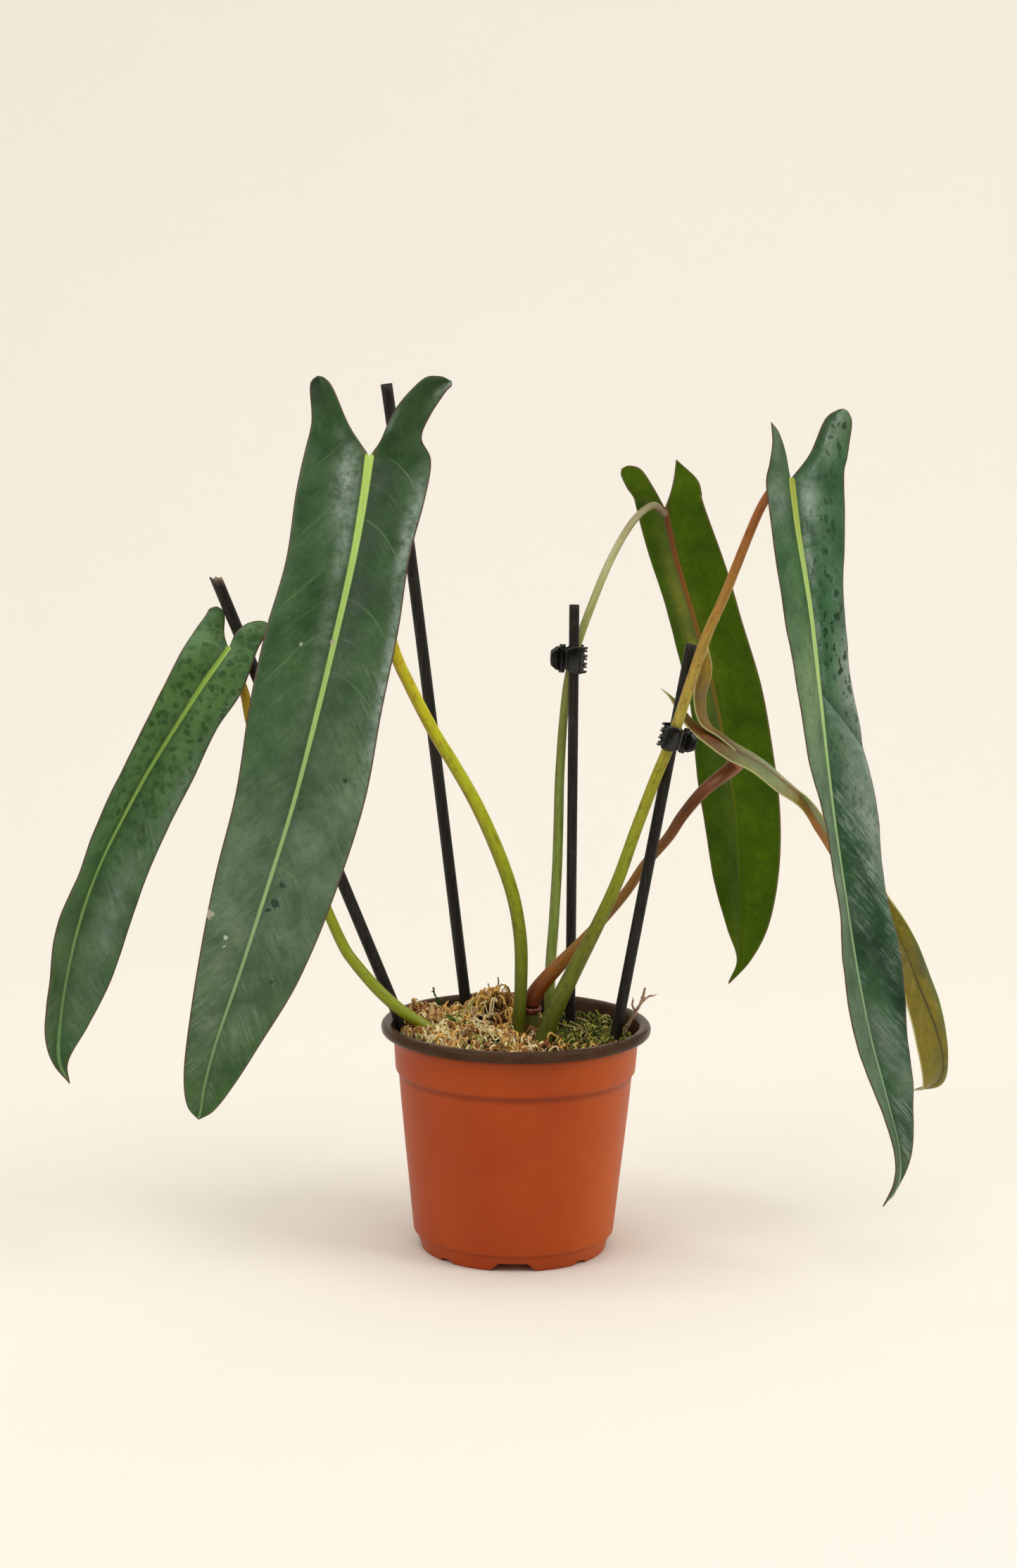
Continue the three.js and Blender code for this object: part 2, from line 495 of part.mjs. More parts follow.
function bladeSurface(leaf) {
  const points = [];
  const halves = [];
  const triangles = [];
  const known = new Map();
  const place = ({ point, half }) => {
    const key = point.toArray().map((v) => Math.round(v * 1000)).join(',');
    if (!known.has(key)) {
      known.set(key, points.push(point) - 1);
      halves.push(half);
    }
    const i = known.get(key);
    halves[i] = Math.max(halves[i], half);
    return i;
  };
  for (const side of [-1, 1]) {
    const grid = halfGrid(leaf, side, BLADE_ROWS_PER_POINT, BLADE_COLUMNS).map((row) => row.map(place));
    for (let j = 0; j < grid.length - 1; j += 1) {
      for (let k = 0; k < BLADE_COLUMNS.length - 1; k += 1) {
        const [a, b, c, d] = [grid[j][k], grid[j + 1][k], grid[j + 1][k + 1], grid[j][k + 1]];
        for (const triangle of [[a, b, c], [a, c, d]]) {
          if (new Set(triangle).size === 3) triangles.push(side > 0 ? triangle : triangle.reverse());
        }
      }
    }
  }
  return { points, halves, triangles };
}

// Gives a surface its thickness, alike on both faces, with a wall round its open edge
function thickened({ points, halves, triangles }) {
  const flat = meshFrom(points, triangles);
  flat.computeVertexNormals();
  const normals = points.map((_, i) => new THREE.Vector3().fromBufferAttribute(flat.attributes.normal, i));
  const upper = points.map((p, i) => p.clone().addScaledVector(normals[i], halves[i]));
  const lower = points.map((p, i) => p.clone().addScaledVector(normals[i], -halves[i]));
  const count = points.length;
  const faces = triangles.map((t) => [...t]);
  faces.push(...triangles.map(([a, b, c]) => [c + count, b + count, a + count]));
  const edges = new Set(triangles.flatMap(([a, b, c]) => [`${a},${b}`, `${b},${c}`, `${c},${a}`]));
  for (const edge of edges) {
    const [a, b] = edge.split(',').map(Number);
    if (!edges.has(`${b},${a}`)) faces.push([b, a, a + count], [b, a + count, b + count]);
  }
  return meshFrom([...upper, ...lower], faces);
}

// Where a petiole meets the back of its blade: just down the rib from the sinus, square to the blade
function petioleSeat(leaf) {
  const rib = curveThrough(leaf.rib);
  const t = leaf.seat.down / (leaf.rib.length - 1);
  const point = rib.getPoint(t);
  const across = vec(leaf.right[0]).sub(vec(leaf.left[0]));
  const normal = across.cross(rib.getTangent(t)).normalize().multiplyScalar(leaf.seat.side);
  return { point, normal };
}

function petioleTo(leaf, petiole, bend) {
  const { point, normal } = petioleSeat(leaf);
  const gap = leaf.ribHalf[0] + SEAT_GAP;
  const end = [gap + bend, gap + bend / 2, gap]
    .map((reach) => point.clone().addScaledVector(normal, reach).toArray());
  return { path: [...petiole.path, ...end], radius: petiole.radius };
}

// Claw clip, drawn with its hinge along Z at x = -hinge and its teeth at +x. The front jaw is at -y,
// the back jaw at +y. Each jaw is a bent plate with a finger tab, and the teeth pass each other.

function plate(points, thickness, height, z) {
  const middle = curveThrough(points.map(([x, y]) => [x, y, 0]));
  const steps = points.length + 2;
  const sideOf = (sign) => Array.from({ length: steps + 1 }, (_, i) => {
    const p = middle.getPoint(i / steps);
    const t = middle.getTangent(i / steps);
    return new THREE.Vector2(p.x - sign * t.y * thickness / 2, p.y + sign * t.x * thickness / 2);
  });
  const shape = new THREE.Shape([...sideOf(1), ...sideOf(-1).reverse()]);
  const geometry = new THREE.ExtrudeGeometry(shape, { depth: height, bevelEnabled: false });
  geometry.translate(0, 0, z - height / 2);
  return solidOf(geometry);
}

function rod(radius, height, x, z, sides = 10) {
  const geometry = new THREE.CylinderGeometry(radius, radius, height, sides);
  geometry.rotateX(Math.PI / 2);
  geometry.translate(x, 0, z);
  return solidOf(geometry);
}

function jaw(depth, length, side) {
  const c = CLIP;
  const out = depth + c.plate / 2;
  const arm = [[-c.hinge + 0.2, 1], [-c.halfWidth, out * 0.72], [-c.halfWidth * 0.45, out], [c.halfWidth * 0.45, out],
    [c.halfWidth, out * 0.7]];
  const tooth = [[c.halfWidth * 0.8, out * 0.83], [c.halfWidth, out * 0.7], [c.halfWidth + 0.35, out * 0.25],
    [c.halfWidth + 0.1, -0.9]];
  const tab = [[-c.hinge - 0.3, 1.1], [-c.hinge - 2, 2.4], [-c.hinge - c.tabReach, c.tabFlare]];
  const flip = (points) => points.map(([x, y]) => [x, side * y]);
  const knuckle = c.knuckle * length;
  const outerSpots = [-(length - knuckle) / 2, (length - knuckle) / 2];
  const innerSpots = outerSpots.map((z) => z * 0.45);
  const [own, other] = side < 0 ? [outerSpots, innerSpots] : [innerSpots, outerSpots];
  const teeth = side < 0 ? [-3, -1, 1, 3] : [-2, 0, 2];
  const body = joined([
    plate(flip(arm), c.plate, length, 0),
    plate(flip(tab), c.plate, c.tabHeight * length, 0),
    ...teeth.map((n) => plate(flip(tooth), c.plate, c.toothWidth * length, n * c.toothPitch * length)),
    ...own.map((z) => rod(c.knuckleRadius, knuckle, -c.hinge, z)),
  ]);
  const room = [
    ...other.map((z) => rod(c.knuckleRadius + CLEARANCE, knuckle + 2 * CLEARANCE, -c.hinge, z)),
    rod(c.knuckleRadius + CLEARANCE, c.knuckle * length, -c.hinge, 0),
    rod(c.pinRadius + CLEARANCE, length + 2, -c.hinge, 0),
  ];
  return cutBy(body, room);
}

function clipSpring() {
  const c = CLIP;
  const inner = c.pinRadius + CLEARANCE;
  const outer = c.knuckleRadius;
  const half = 0.75;
  const coil = new THREE.LatheGeometry([
    [inner, -half], [outer, -half], [outer - 0.2, -half / 3], [outer, 0], [outer - 0.2, half / 3],
    [outer, half], [inner, half], [inner, -half],
  ].map(([r, z]) => new THREE.Vector2(r, z)), 14);
  coil.rotateX(Math.PI / 2);
  coil.translate(-c.hinge, 0, 0);
  return coil;
}

// Assembly

const plant = new THREE.Group();

function addPiece(name, geometry, material, parent = plant) {
  const mesh = new THREE.Mesh(geometry, material);
  mesh.name = name;
  parent.add(mesh);
}

const STEM_SIDES = 8;
const STAKE_SIDES = 10;
const HOLE = CLEARANCE + 0.05;

const petioles = [
  { name: 'petiole_front', stem: petioleTo(FRONT_LEAF, FRONT_PETIOLE, 9), steps: 24, material: petioleGreen },
  { name: 'petiole_left', stem: petioleTo(LEFT_LEAF, LEFT_PETIOLE, 5), steps: 24, material: petioleGreen },
  { name: 'petiole_right', stem: petioleTo(RIGHT_LEAF, RIGHT_PETIOLE, 4), steps: 30, material: petioleGreen },
  { name: 'petiole_back', stem: petioleTo(BACK_LEAF, BACK_PETIOLE, 2.4), steps: 34, material: petioleGreen },
  { name: 'petiole_young', stem: petioleTo(YOUNG_LEAF, YOUNG_PETIOLE, 6), steps: 20, material: petioleBrown },
];
const stakes = [
  { name: 'stake_left', stem: LEFT_STAKE },
  { name: 'stake_tall', stem: TALL_STAKE },
  { name: 'stake_middle', stem: MIDDLE_STAKE },
  { name: 'stake_right', stem: RIGHT_STAKE },
];
const STAKE_STEPS = 8;

const ringSolid = () => {
  const ring = new THREE.CylinderGeometry(STEM_RING.radius * 0.94, STEM_RING.radius * 0.9, STEM_RING.height, 16);
  ring.rotateX(Math.PI / 2);
  ring.translate(...STEM_RING.centre);
  return solidOf(ring);
};
const mainStem = joined([solidOf(roundStem(MAIN_STEM, 12, 8)), ringSolid()]);

const twigStems = [TWIG.stem, ...TWIG.branches];
const twig = joined(twigStems.map((stem) => solidOf(roundStem(stem, 6, 5))));

const holes = [
  ...petioles.map(({ stem, steps }) => solidOf(roundStem(stem, STEM_SIDES, steps, HOLE))),
  ...stakes.map(({ stem }) => solidOf(roundStem(stem, STAKE_SIDES, STAKE_STEPS, HOLE))),
  solidOf(roundStem(MAIN_STEM, 12, 8, HOLE)),
  solidOf(roundStem(TWIG.stem, 6, 5, HOLE)),
];

addPiece('pot', geometryOf(potBody()), terracottaPlastic);
addPiece('potting_soil', geometryOf(cutBy(soilBody(), holes)), soilBrown);
addPiece('sphagnum_moss', geometryOf(cutBy(sphagnumMound(), holes)), driedMoss);
addPiece('green_moss', geometryOf(cutBy(greenMound(), holes)), greenMoss);
addPiece('main_stem', geometryOf(mainStem), petioleGreen);
for (const { name, stem, steps, material } of petioles) {
  addPiece(name, roundStem(stem, STEM_SIDES, steps), material);
}
addPiece('blade_front', thickened(bladeSurface(FRONT_LEAF)), leafGreen);
addPiece('blade_left', thickened(bladeSurface(LEFT_LEAF)), leafGreen);
addPiece('blade_right', thickened(bladeSurface(RIGHT_LEAF)), leafGreen);
addPiece('blade_back', thickened(bladeSurface(BACK_LEAF)), backGreen);
addPiece('blade_young', thickened(bladeSurface(YOUNG_LEAF)), youngOlive);
for (const { name, stem } of stakes) {
  addPiece(name, roundStem(stem, STAKE_SIDES, STAKE_STEPS), stakeBlack);
}
addPiece('twig', geometryOf(twig), bark);

for (const { name, centre, length, depth, side, lean } of CLIPS) {
  const clip = new THREE.Group();
  clip.position.set(...centre);
  clip.rotation.y = THREE.MathUtils.degToRad(lean);
  const turned = new THREE.Group();
  turned.rotation.z = side > 0 ? 0 : Math.PI;
  clip.add(turned);
  plant.add(clip);
  addPiece(`${name}_fixed_jaw`, geometryOf(jaw(depth, length, -side)), clipBlack, turned);
  addPiece(`${name}_moving_jaw`, geometryOf(jaw(depth, length, side)), clipBlack, turned);
  addPiece(`${name}_pin`, geometryOf(rod(CLIP.pinRadius, length - 0.6, -CLIP.hinge, 0)), steel, turned);
  addPiece(`${name}_spring`, clipSpring(), steel, turned);
}

export default plant;
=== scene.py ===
import math
import random

import bmesh
import bpy
import numpy as np
from mathutils import Matrix, Vector, noise


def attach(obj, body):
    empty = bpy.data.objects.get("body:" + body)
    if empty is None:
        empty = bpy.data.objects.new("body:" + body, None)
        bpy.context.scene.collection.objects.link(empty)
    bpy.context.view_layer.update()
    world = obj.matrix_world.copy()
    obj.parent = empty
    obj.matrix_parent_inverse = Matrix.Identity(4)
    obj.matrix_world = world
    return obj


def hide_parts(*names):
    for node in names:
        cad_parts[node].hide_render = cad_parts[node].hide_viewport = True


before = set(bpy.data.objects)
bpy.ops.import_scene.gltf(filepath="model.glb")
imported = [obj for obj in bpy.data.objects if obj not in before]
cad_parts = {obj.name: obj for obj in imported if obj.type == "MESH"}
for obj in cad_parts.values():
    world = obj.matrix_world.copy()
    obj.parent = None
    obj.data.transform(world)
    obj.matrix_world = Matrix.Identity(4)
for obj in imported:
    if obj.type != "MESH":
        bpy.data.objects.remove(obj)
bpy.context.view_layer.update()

# Studio
# A seamless pale paper sweep that the pot stands on, in warm soft light from a broad window on
# either side. The sweep is a backdrop and not part of the plant.

MM = 0.001
SWEEP_WIDTH, SWEEP_TOP, SWEEP_RADIUS = 7.0, 3.6, 1.1
SWEEP_FRONT, SWEEP_BACK = -3.2, 1.7
SWEEP_STEPS = 24
PAPER = (0.885, 0.848, 0.785)
WINDOW_LIGHT = (1.0, 0.985, 0.95)
ROOM_STRENGTH = 0.69
CAMERA_PLACE = (-0.0046, -1.230, 0.394)
CAMERA_PITCH = math.radians(90 - 8.56)
CAMERA_ROLL = math.radians(0.70)


def is_socket(value):
    return isinstance(value, bpy.types.NodeSocket)


def feed(node, inputs):
    """Sets a node's inputs, each to a plain value or to another node's output."""
    for name, value in inputs.items():
        socket = node.inputs[name]
        if is_socket(value):
            node.id_data.links.new(value, socket)
        else:
            socket.default_value = (*value[:3], 1) if socket.type == "RGBA" else value
    return node


def put(near, kind, inputs=None, **settings):
    """Places a shader node in the tree of the node or socket near it."""
    made = near.id_data.nodes.new("ShaderNode" + kind)
    for name, value in settings.items():
        setattr(made, name, value)
    return feed(made, inputs or {})


def new_finish(name):
    """An empty material and its Principled shader."""
    material = bpy.data.materials.new(name)
    material.use_nodes = True
    return material, material.node_tree.nodes["Principled BSDF"]


def object_place(near):
    """Where a point lies on the object, in metres."""
    return put(near, "TexCoord").outputs["Object"]


def mixed(share, first, second, how="MIX"):
    """Blends two colours by a share from 0 to 1."""
    near = next(value for value in (share, first, second) if is_socket(value))
    return put(near, "Mix", {0: share, 6: first, 7: second}, data_type="RGBA", blend_type=how).outputs[2]


def tinted(tone, tint):
    """A colour multiplied by another."""
    return mixed(1.0, tone, tint, "MULTIPLY")


def spread(value, low, high, new_low=0.0, new_high=1.0, smooth=False):
    """Stretches a value from one range to another."""
    return put(value, "MapRange", {0: value, 1: low, 2: high, 3: new_low, 4: new_high},
               interpolation_type="SMOOTHSTEP" if smooth else "LINEAR").outputs[0]


def mottled(place, size, detail=4.0, roughness=0.55, output="Fac"):
    """Cloudy unevenness whose blots are about size metres across."""
    return put(place, "TexNoise", {"Vector": place, "Scale": 1 / size, "Detail": detail,
                                   "Roughness": roughness}).outputs[output]


def in_scene(name, data):
    """A new object in the scene."""
    made = bpy.data.objects.new(name, data)
    bpy.context.scene.collection.objects.link(made)
    return made


def shape_piece(name, points, faces, finishes, finish_of_face=None):
    """A smooth mesh object from points in millimetres."""
    mesh = bpy.data.meshes.new(name)
    mesh.from_pydata((np.asarray(points, float) * MM).tolist(), [], [tuple(map(int, f)) for f in faces])
    for finish in finishes:
        mesh.materials.append(finish)
    if finish_of_face is not None:
        mesh.polygons.foreach_set("material_index", np.asarray(finish_of_face, np.int32))
    mesh.polygons.foreach_set("use_smooth", [True] * len(mesh.polygons))
    return in_scene(name, mesh)


def soft_light(name, place, aim, size, power):
    """A broad soft lamp."""
    lamp = bpy.data.lights.new(name, "AREA")
    lamp.shape = "RECTANGLE"
    lamp.size, lamp.size_y = size
    lamp.energy, lamp.color = power, WINDOW_LIGHT
    holder = in_scene(name, lamp)
    holder.location = place
    holder.rotation_euler = (Vector(aim) - Vector(place)).to_track_quat("-Z", "Y").to_euler()


paper, shader = new_finish("paper_sweep")
paper_tone = mottled(object_place(shader), 0.9, detail=2)
feed(shader, {"Base Color": mixed(spread(paper_tone, 0.3, 0.7), PAPER, [c * 0.985 for c in PAPER]),
              "Roughness": 0.85, "Specular IOR Level": 0.15})
one_sided = put(shader, "MixShader", {0: put(shader, "NewGeometry").outputs["Backfacing"],
                                      1: shader.outputs[0], 2: put(shader, "BsdfTransparent").outputs[0]})
feed(shader.id_data.nodes["Material Output"], {"Surface": one_sided.outputs[0]})

sweep_line = [(SWEEP_FRONT, 0.0), (-1.0, 0.0), (0.0, 0.0), (SWEEP_BACK - SWEEP_RADIUS, 0.0)]
for step in range(1, SWEEP_STEPS + 1):
    turn = math.radians(90 * step / SWEEP_STEPS)
    sweep_line.append((SWEEP_BACK - SWEEP_RADIUS + SWEEP_RADIUS * math.sin(turn),
                       SWEEP_RADIUS * (1 - math.cos(turn))))
sweep_line.append((SWEEP_BACK, SWEEP_TOP))
sweep_points = [(side * SWEEP_WIDTH / 2 / MM, y / MM, z / MM) for y, z in sweep_line for side in (-1, 1)]
sweep_faces = [(2 * i, 2 * i + 1, 2 * i + 3, 2 * i + 2) for i in range(len(sweep_line) - 1)]
sweep = shape_piece("paper_sweep", sweep_points, sweep_faces, [paper])

world = bpy.data.worlds.new("soft_room")
world.use_nodes = True
room = world.node_tree.nodes["Background"]
around = put(room, "TexCoord").outputs["Generated"]
toward = put(room, "SeparateXYZ", {0: around}).outputs
wall = mixed(spread(toward["Z"], 0.02, 0.42, smooth=True), (0.13, 0.125, 0.112), (0.80, 0.775, 0.715))
patchy = spread(mottled(around, 0.22, detail=3), 0.40, 0.60)
wall = mixed(patchy, tinted(wall, (0.55, 0.55, 0.55)), tinted(wall, (1.35, 1.35, 1.35)))
from_back = spread(toward["Y"], -0.75, 0.35, smooth=True)
feed(room, {"Color": mixed(from_back, wall, (0.93, 0.895, 0.825)), "Strength": ROOM_STRENGTH})
plain = put(room, "Background", {"Color": (0.84, 0.80, 0.73), "Strength": 1.0})
seen = put(room, "MixShader", {0: put(room, "LightPath").outputs["Is Camera Ray"],
                               1: room.outputs[0], 2: plain.outputs[0]})
feed(world.node_tree.nodes["World Output"], {"Surface": seen.outputs[0]})
bpy.context.scene.world = world
bpy.context.scene.view_settings.view_transform = "Standard"

soft_light("window_left", (-1.7, -1.1, 1.7), (0, 0, 0.15), (1.5, 1.3), 16)
soft_light("window_right", (1.8, -0.8, 2.0), (0, 0, 0.15), (1.3, 1.2), 26)
soft_light("overhead", (0.0, -1.4, 2.4), (0, 0.1, 0), (1.6, 1.2), 9)
soft_light("backdrop_wash", (0.0, 0.35, 2.7), (0, 1.7, 0.9), (3.0, 0.8), 12)

view = bpy.data.cameras.new("photo_view")
view.lens, view.sensor_width, view.clip_end = 65, 36, 30
camera = in_scene("photo_view", view)
camera.matrix_world = (Matrix.Translation(CAMERA_PLACE) @ Matrix.Rotation(CAMERA_PITCH, 4, "X")
                       @ Matrix.Rotation(CAMERA_ROLL, 4, "Z"))
bpy.context.scene.camera = camera

# Pot
# A 12 cm nursery pot, blown in two layers of polypropylene: terracotta outside and black inside.
# The black layer shows on the rolled lip. The foot ring is notched for drainage.

POT_SEGMENTS = 360
POT_OUTSIDE = [
    (13, 0), (13.5, 0.4), (14, 3), (24, 3), (34, 3), (34.5, 1.5), (35, 0.3), (35.4, 0),
    (38, 0), (40.7, 0), (41.3, 0.2), (41.7, 0.8), (42, 2.2), (42.35, 3.8), (42.7, 4.7), (43.2, 5.9),
    (43.35, 6.5), (43.45, 7), (43.7, 7.35), (44.3, 7.55), (44.75, 7.9), (44.9, 8.5), (44.95, 9.2),
    (46.2, 21), (47.4, 33), (48.7, 45), (49.9, 57), (51, 68), (51.7, 76), (52, 79.3), (52.3, 80.1),
    (52.9, 80.6), (53.35, 81.2), (53.5, 82), (53.8, 86.5), (54.15, 91.5), (54.3, 93.6), (54.45, 94.1),
    (54.95, 94.5),
    (55.05, 95), (55.1, 96), (55.1, 97), (55.5, 97.3)]
POT_LIP = [
    (57.8, 97.35), (58.6, 97.4), (59.2, 97.7), (59.7, 98.3), (59.95, 99.2), (60, 100.2), (59.75, 101.1),
    (59.2, 101.8), (58.4, 102.2), (57.4, 102.3), (56.4, 102.2), (55.6, 101.9), (55, 101.3), (54.7, 100.5)]
POT_INSIDE = [
    (54.4, 99), (53.8, 96.4), (53.6, 94.5), (52.1, 82), (51.6, 80.6), (50.7, 79.4), (49.7, 70),
    (47.2, 45), (43.5, 9), (43.2, 7.2), (41.5, 4.9), (40, 4.6), (24, 4.6), (10, 4.6)]
# Each ring of four notches: first turn in degrees, height, width at the top and at the bottom
FOOT_NOTCHES = [(0, 3.8, 12.4, 20.4), (45, 1.6, 4.5, 8.0)]
FOOT_INSIDE, FOOT_OUTSIDE, FOOT_TOP = 34.4, 43, 4
WALL_START, WALL_HEIGHT, OUT_OF_ROUND = 12, 90, 0.10
DRAIN_HOLES, DRAIN_RADIUS, DRAIN_RING = 6, 3.2, 24.0
DRILL_REACH = (1.5, 6.5)
DRILL_SIDES = 32
# Painted shade under the pot's steps, at the foot, the collar and the rolled lip: height and reach in metres,
# and strength
STEP_SHADE_LINES = [(0.0074, 0.0010, 0.30), (0.0796, 0.0030, 0.50), (0.0941, 0.0010, 0.30), (0.0970, 0.0022, 0.55)]


def reckon(how, first, second=0.0):
    """One sum on two values, at least one of them another node's output."""
    near = first if is_socket(first) else second
    return put(near, "Math", {0: first, 1: second}, operation=how).outputs[0]


def times(product, *others):
    """The product of several values."""
    for other in others:
        product = reckon("MULTIPLY", product, other)
    return product


def roughen(shader, height, depth):
    """Low relief from a height that is 0 to 1, depth metres deep."""
    feed(shader, {"Normal": put(shader, "Bump", {"Height": height, "Distance": depth}).outputs["Normal"]})


def solid_piece(name, points, faces, finishes, finish_of_face=None):
    """A piece made of closed skins, with every face turned outwards."""
    piece = shape_piece(name, points, faces, finishes, finish_of_face)
    shell = bmesh.new()
    shell.from_mesh(piece.data)
    bmesh.ops.recalc_face_normals(shell, faces=shell.faces)
    shell.to_mesh(piece.data)
    shell.free()
    return piece


def full_turn(count):
    """Evenly spaced angles once round."""
    return np.linspace(0, 2 * np.pi, count, endpoint=False)


def tube_faces(rings, count):
    """The faces between rings of points that follow one another."""
    return [(j * count + i, j * count + k, (j + 1) * count + k, (j + 1) * count + i)
            for j in range(rings - 1) for i, k in zip(range(count), [*range(1, count), 0])]


def skin_rings(rings):
    """Joins rings of points into one closed skin with capped ends."""
    count, last = len(rings[0]), (len(rings) - 1) * len(rings[0])
    caps = [tuple(range(count - 1, -1, -1)), tuple(range(last, last + count))]
    return [tuple(p) for ring in rings for p in ring], tube_faces(len(rings), count) + caps


def gather(pieces):
    """Joins lists of points and faces into one list of each, with the piece each point came from."""
    points, faces, owners = [], [], []
    for owner, (more_points, more_faces) in enumerate(pieces):
        start = len(points)
        points.extend(more_points)
        faces.extend([tuple(i + start for i in face) for face in more_faces])
        owners.extend([owner] * len(more_points))
    return points, faces, owners


def notch_height(turn, radius):
    """How high the foot ring is cut away at a turn round the pot."""
    height = 0.0
    for first, top, top_width, bottom_width in FOOT_NOTCHES:
        offset = (turn - math.radians(first - 90) + math.pi / 4) % (math.pi / 2) - math.pi / 4
        across = abs(radius * math.sin(offset))
        slope = (bottom_width / 2 - across) / (bottom_width / 2 - top_width / 2)
        height = max(height, top * min(1.0, max(0.0, slope)))
    return height


def foot_shift(turn, radius, z):
    """Raises the foot ring over each notch, and leaves the blown wall very slightly out of round."""
    if FOOT_INSIDE < radius < FOOT_OUTSIDE and z < FOOT_TOP:
        z = max(z, notch_height(turn, max(radius, 41.0)))
    if z > WALL_START:
        radius += OUT_OF_ROUND * math.sin(3 * turn + 0.4) * (z - WALL_START) / WALL_HEIGHT
    return radius, z


def turned_body(profile, segments, shift):
    """A closed turned body. The profile runs from the axis round and back to it."""
    points = []
    for radius, z in profile:
        for i in range(segments):
            turn = 2 * math.pi * i / segments
            r, height = shift(turn, radius, z)
            points.append((r * math.cos(turn), r * math.sin(turn), height))
    faces = tube_faces(len(profile), segments)
    middle, last = len(points), (len(profile) - 1) * segments
    for i in range(segments):
        k = (i + 1) % segments
        faces += [(middle, k, i), (middle + 1, last + i, last + k)]
    return points + [(0, 0, profile[0][1]), (0, 0, profile[-1][1])], faces


terracotta, shader = new_finish("terracotta_plastic")
place = object_place(shader)
parts = put(shader, "SeparateXYZ", {0: place}).outputs
cloud = mottled(place, 0.045, detail=3)
tone = mixed(spread(cloud, 0.35, 0.65), (0.368, 0.047, 0.004), (0.415, 0.062, 0.006))
# Painted light: the pot's right side, towards the brighter window, is painted lighter
tone = mixed(spread(parts["X"], 0.012, 0.050, smooth=True), tone, tinted(tone, (1.40, 1.78, 2.0)))
low_down = spread(parts["Z"], 0.012, 0.075, 1.0, 0.25)
scuff = times(spread(mottled(place, 1 / 520, 2, 0.5), 0.74, 0.80), low_down, 0.45)
tone = mixed(scuff, tone, (0.62, 0.25, 0.12))
# Painted shade: a dark line painted into the base colour at each step
for step_height, reach, share in STEP_SHADE_LINES:
    from_step = reckon("ABSOLUTE", reckon("SUBTRACT", parts["Z"], step_height))
    tone = mixed(spread(from_step, 0.0, reach, share, 0.0, smooth=True), tone, (0.13, 0.017, 0.003))
feed(shader, {"Base Color": tone, "Roughness": spread(cloud, 0.3, 0.7, 0.40, 0.52),
              "Specular IOR Level": 0.20})
roughen(shader, mottled(place, 0.0009, detail=2), 0.00004)

black_plastic, shader = new_finish("black_inner_plastic")
place = object_place(shader)
cloud = mottled(place, 0.02, detail=5)
dust = spread(mottled(place, 0.0025, detail=3), 0.52, 0.78, 0.0, 0.40)
tone = mixed(spread(cloud, 0.35, 0.7), (0.046, 0.0215, 0.0105), (0.082, 0.042, 0.023))
feed(shader, {"Base Color": mixed(dust, tone, (0.085, 0.052, 0.036)),
              "Roughness": spread(cloud, 0.3, 0.7, 0.22, 0.34), "Specular IOR Level": 0.07})
roughen(shader, mottled(place, 0.0012, detail=3), 0.00005)

pot_profile = POT_OUTSIDE + POT_LIP + POT_INSIDE
points, faces = turned_body(pot_profile, POT_SEGMENTS, foot_shift)
outside_faces = (len(POT_OUTSIDE) - 1) * POT_SEGMENTS
black_faces = (len(pot_profile) - 1) * POT_SEGMENTS - outside_faces
pot = solid_piece("nursery_pot", points, faces, [terracotta, black_plastic],
                  [0] * outside_faces + [1] * black_faces + [0, 1] * POT_SEGMENTS)
drills = []
for i in range(DRAIN_HOLES):
    turn = 2 * math.pi * (i + 0.5) / DRAIN_HOLES
    x, y = DRAIN_RING * math.cos(turn), DRAIN_RING * math.sin(turn)
    drills.append(skin_rings([[(x + DRAIN_RADIUS * math.cos(a), y + DRAIN_RADIUS * math.sin(a), z)
                               for a in full_turn(DRILL_SIDES)] for z in DRILL_REACH]))
drill = shape_piece("drain_drill", *gather(drills)[:2], [black_plastic])
cut = pot.modifiers.new("drain", "BOOLEAN")
cut.operation, cut.solver, cut.object = "DIFFERENCE", "EXACT", drill
drilled = bpy.data.meshes.new_from_object(pot.evaluated_get(bpy.context.evaluated_depsgraph_get()))
pot.modifiers.clear()
pot.data = drilled
bpy.data.objects.remove(drill)
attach(pot, "plant_and_pot")
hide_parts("pot")

# Potting soil
# Loose dark mix of peat, bark chips and a little perlite, filled in to a centimetre under the lip.
# It lies in small heaps and holds the stems, the stakes and the twig.

SOIL_TOP, SOIL_FACE = 90.0, 90.2
SOIL_PROFILE = [(0.5, 4.9), (20, 4.9), (41.3, 4.9), (43.2, 9.2), (47.2, 46), (50.4, 79.7), (51.9, 81.3),
                (52.3, 85), (52.6, 88.6), (51.5, SOIL_TOP)]
SOIL_PROFILE += [(radius, SOIL_FACE) for radius in (49, 46, 43, 40, 36, 32, 28, 24, 20, 16, 12, 8, 4, 1)]
SOIL_REACH = 50.5
CRUMBS, PERLITE_EVERY = 520, 11
PEAT, BARK, PERLITE = (0.01, 0.005, 0.003), (0.045, 0.020, 0.010), (0.42, 0.38, 0.33)
CRUMB_PROFILE = [(0.35, -0.8), (0.95, -0.25), (0.9, 0.35), (0.4, 0.85)]
soil_luck = random.Random(41)


def soil_heaps(at):
    return 1.5 * noise.noise(at / 9)


def soil_shift(turn, radius, z):
    """Small heaps and hollows on the soil's upper face."""
    if z > SOIL_TOP - 2:
        at = Vector((radius * math.cos(turn), radius * math.sin(turn), 0))
        z += soil_heaps(at) + 1.0 * noise.noise(at / 3.2)
    return radius, z


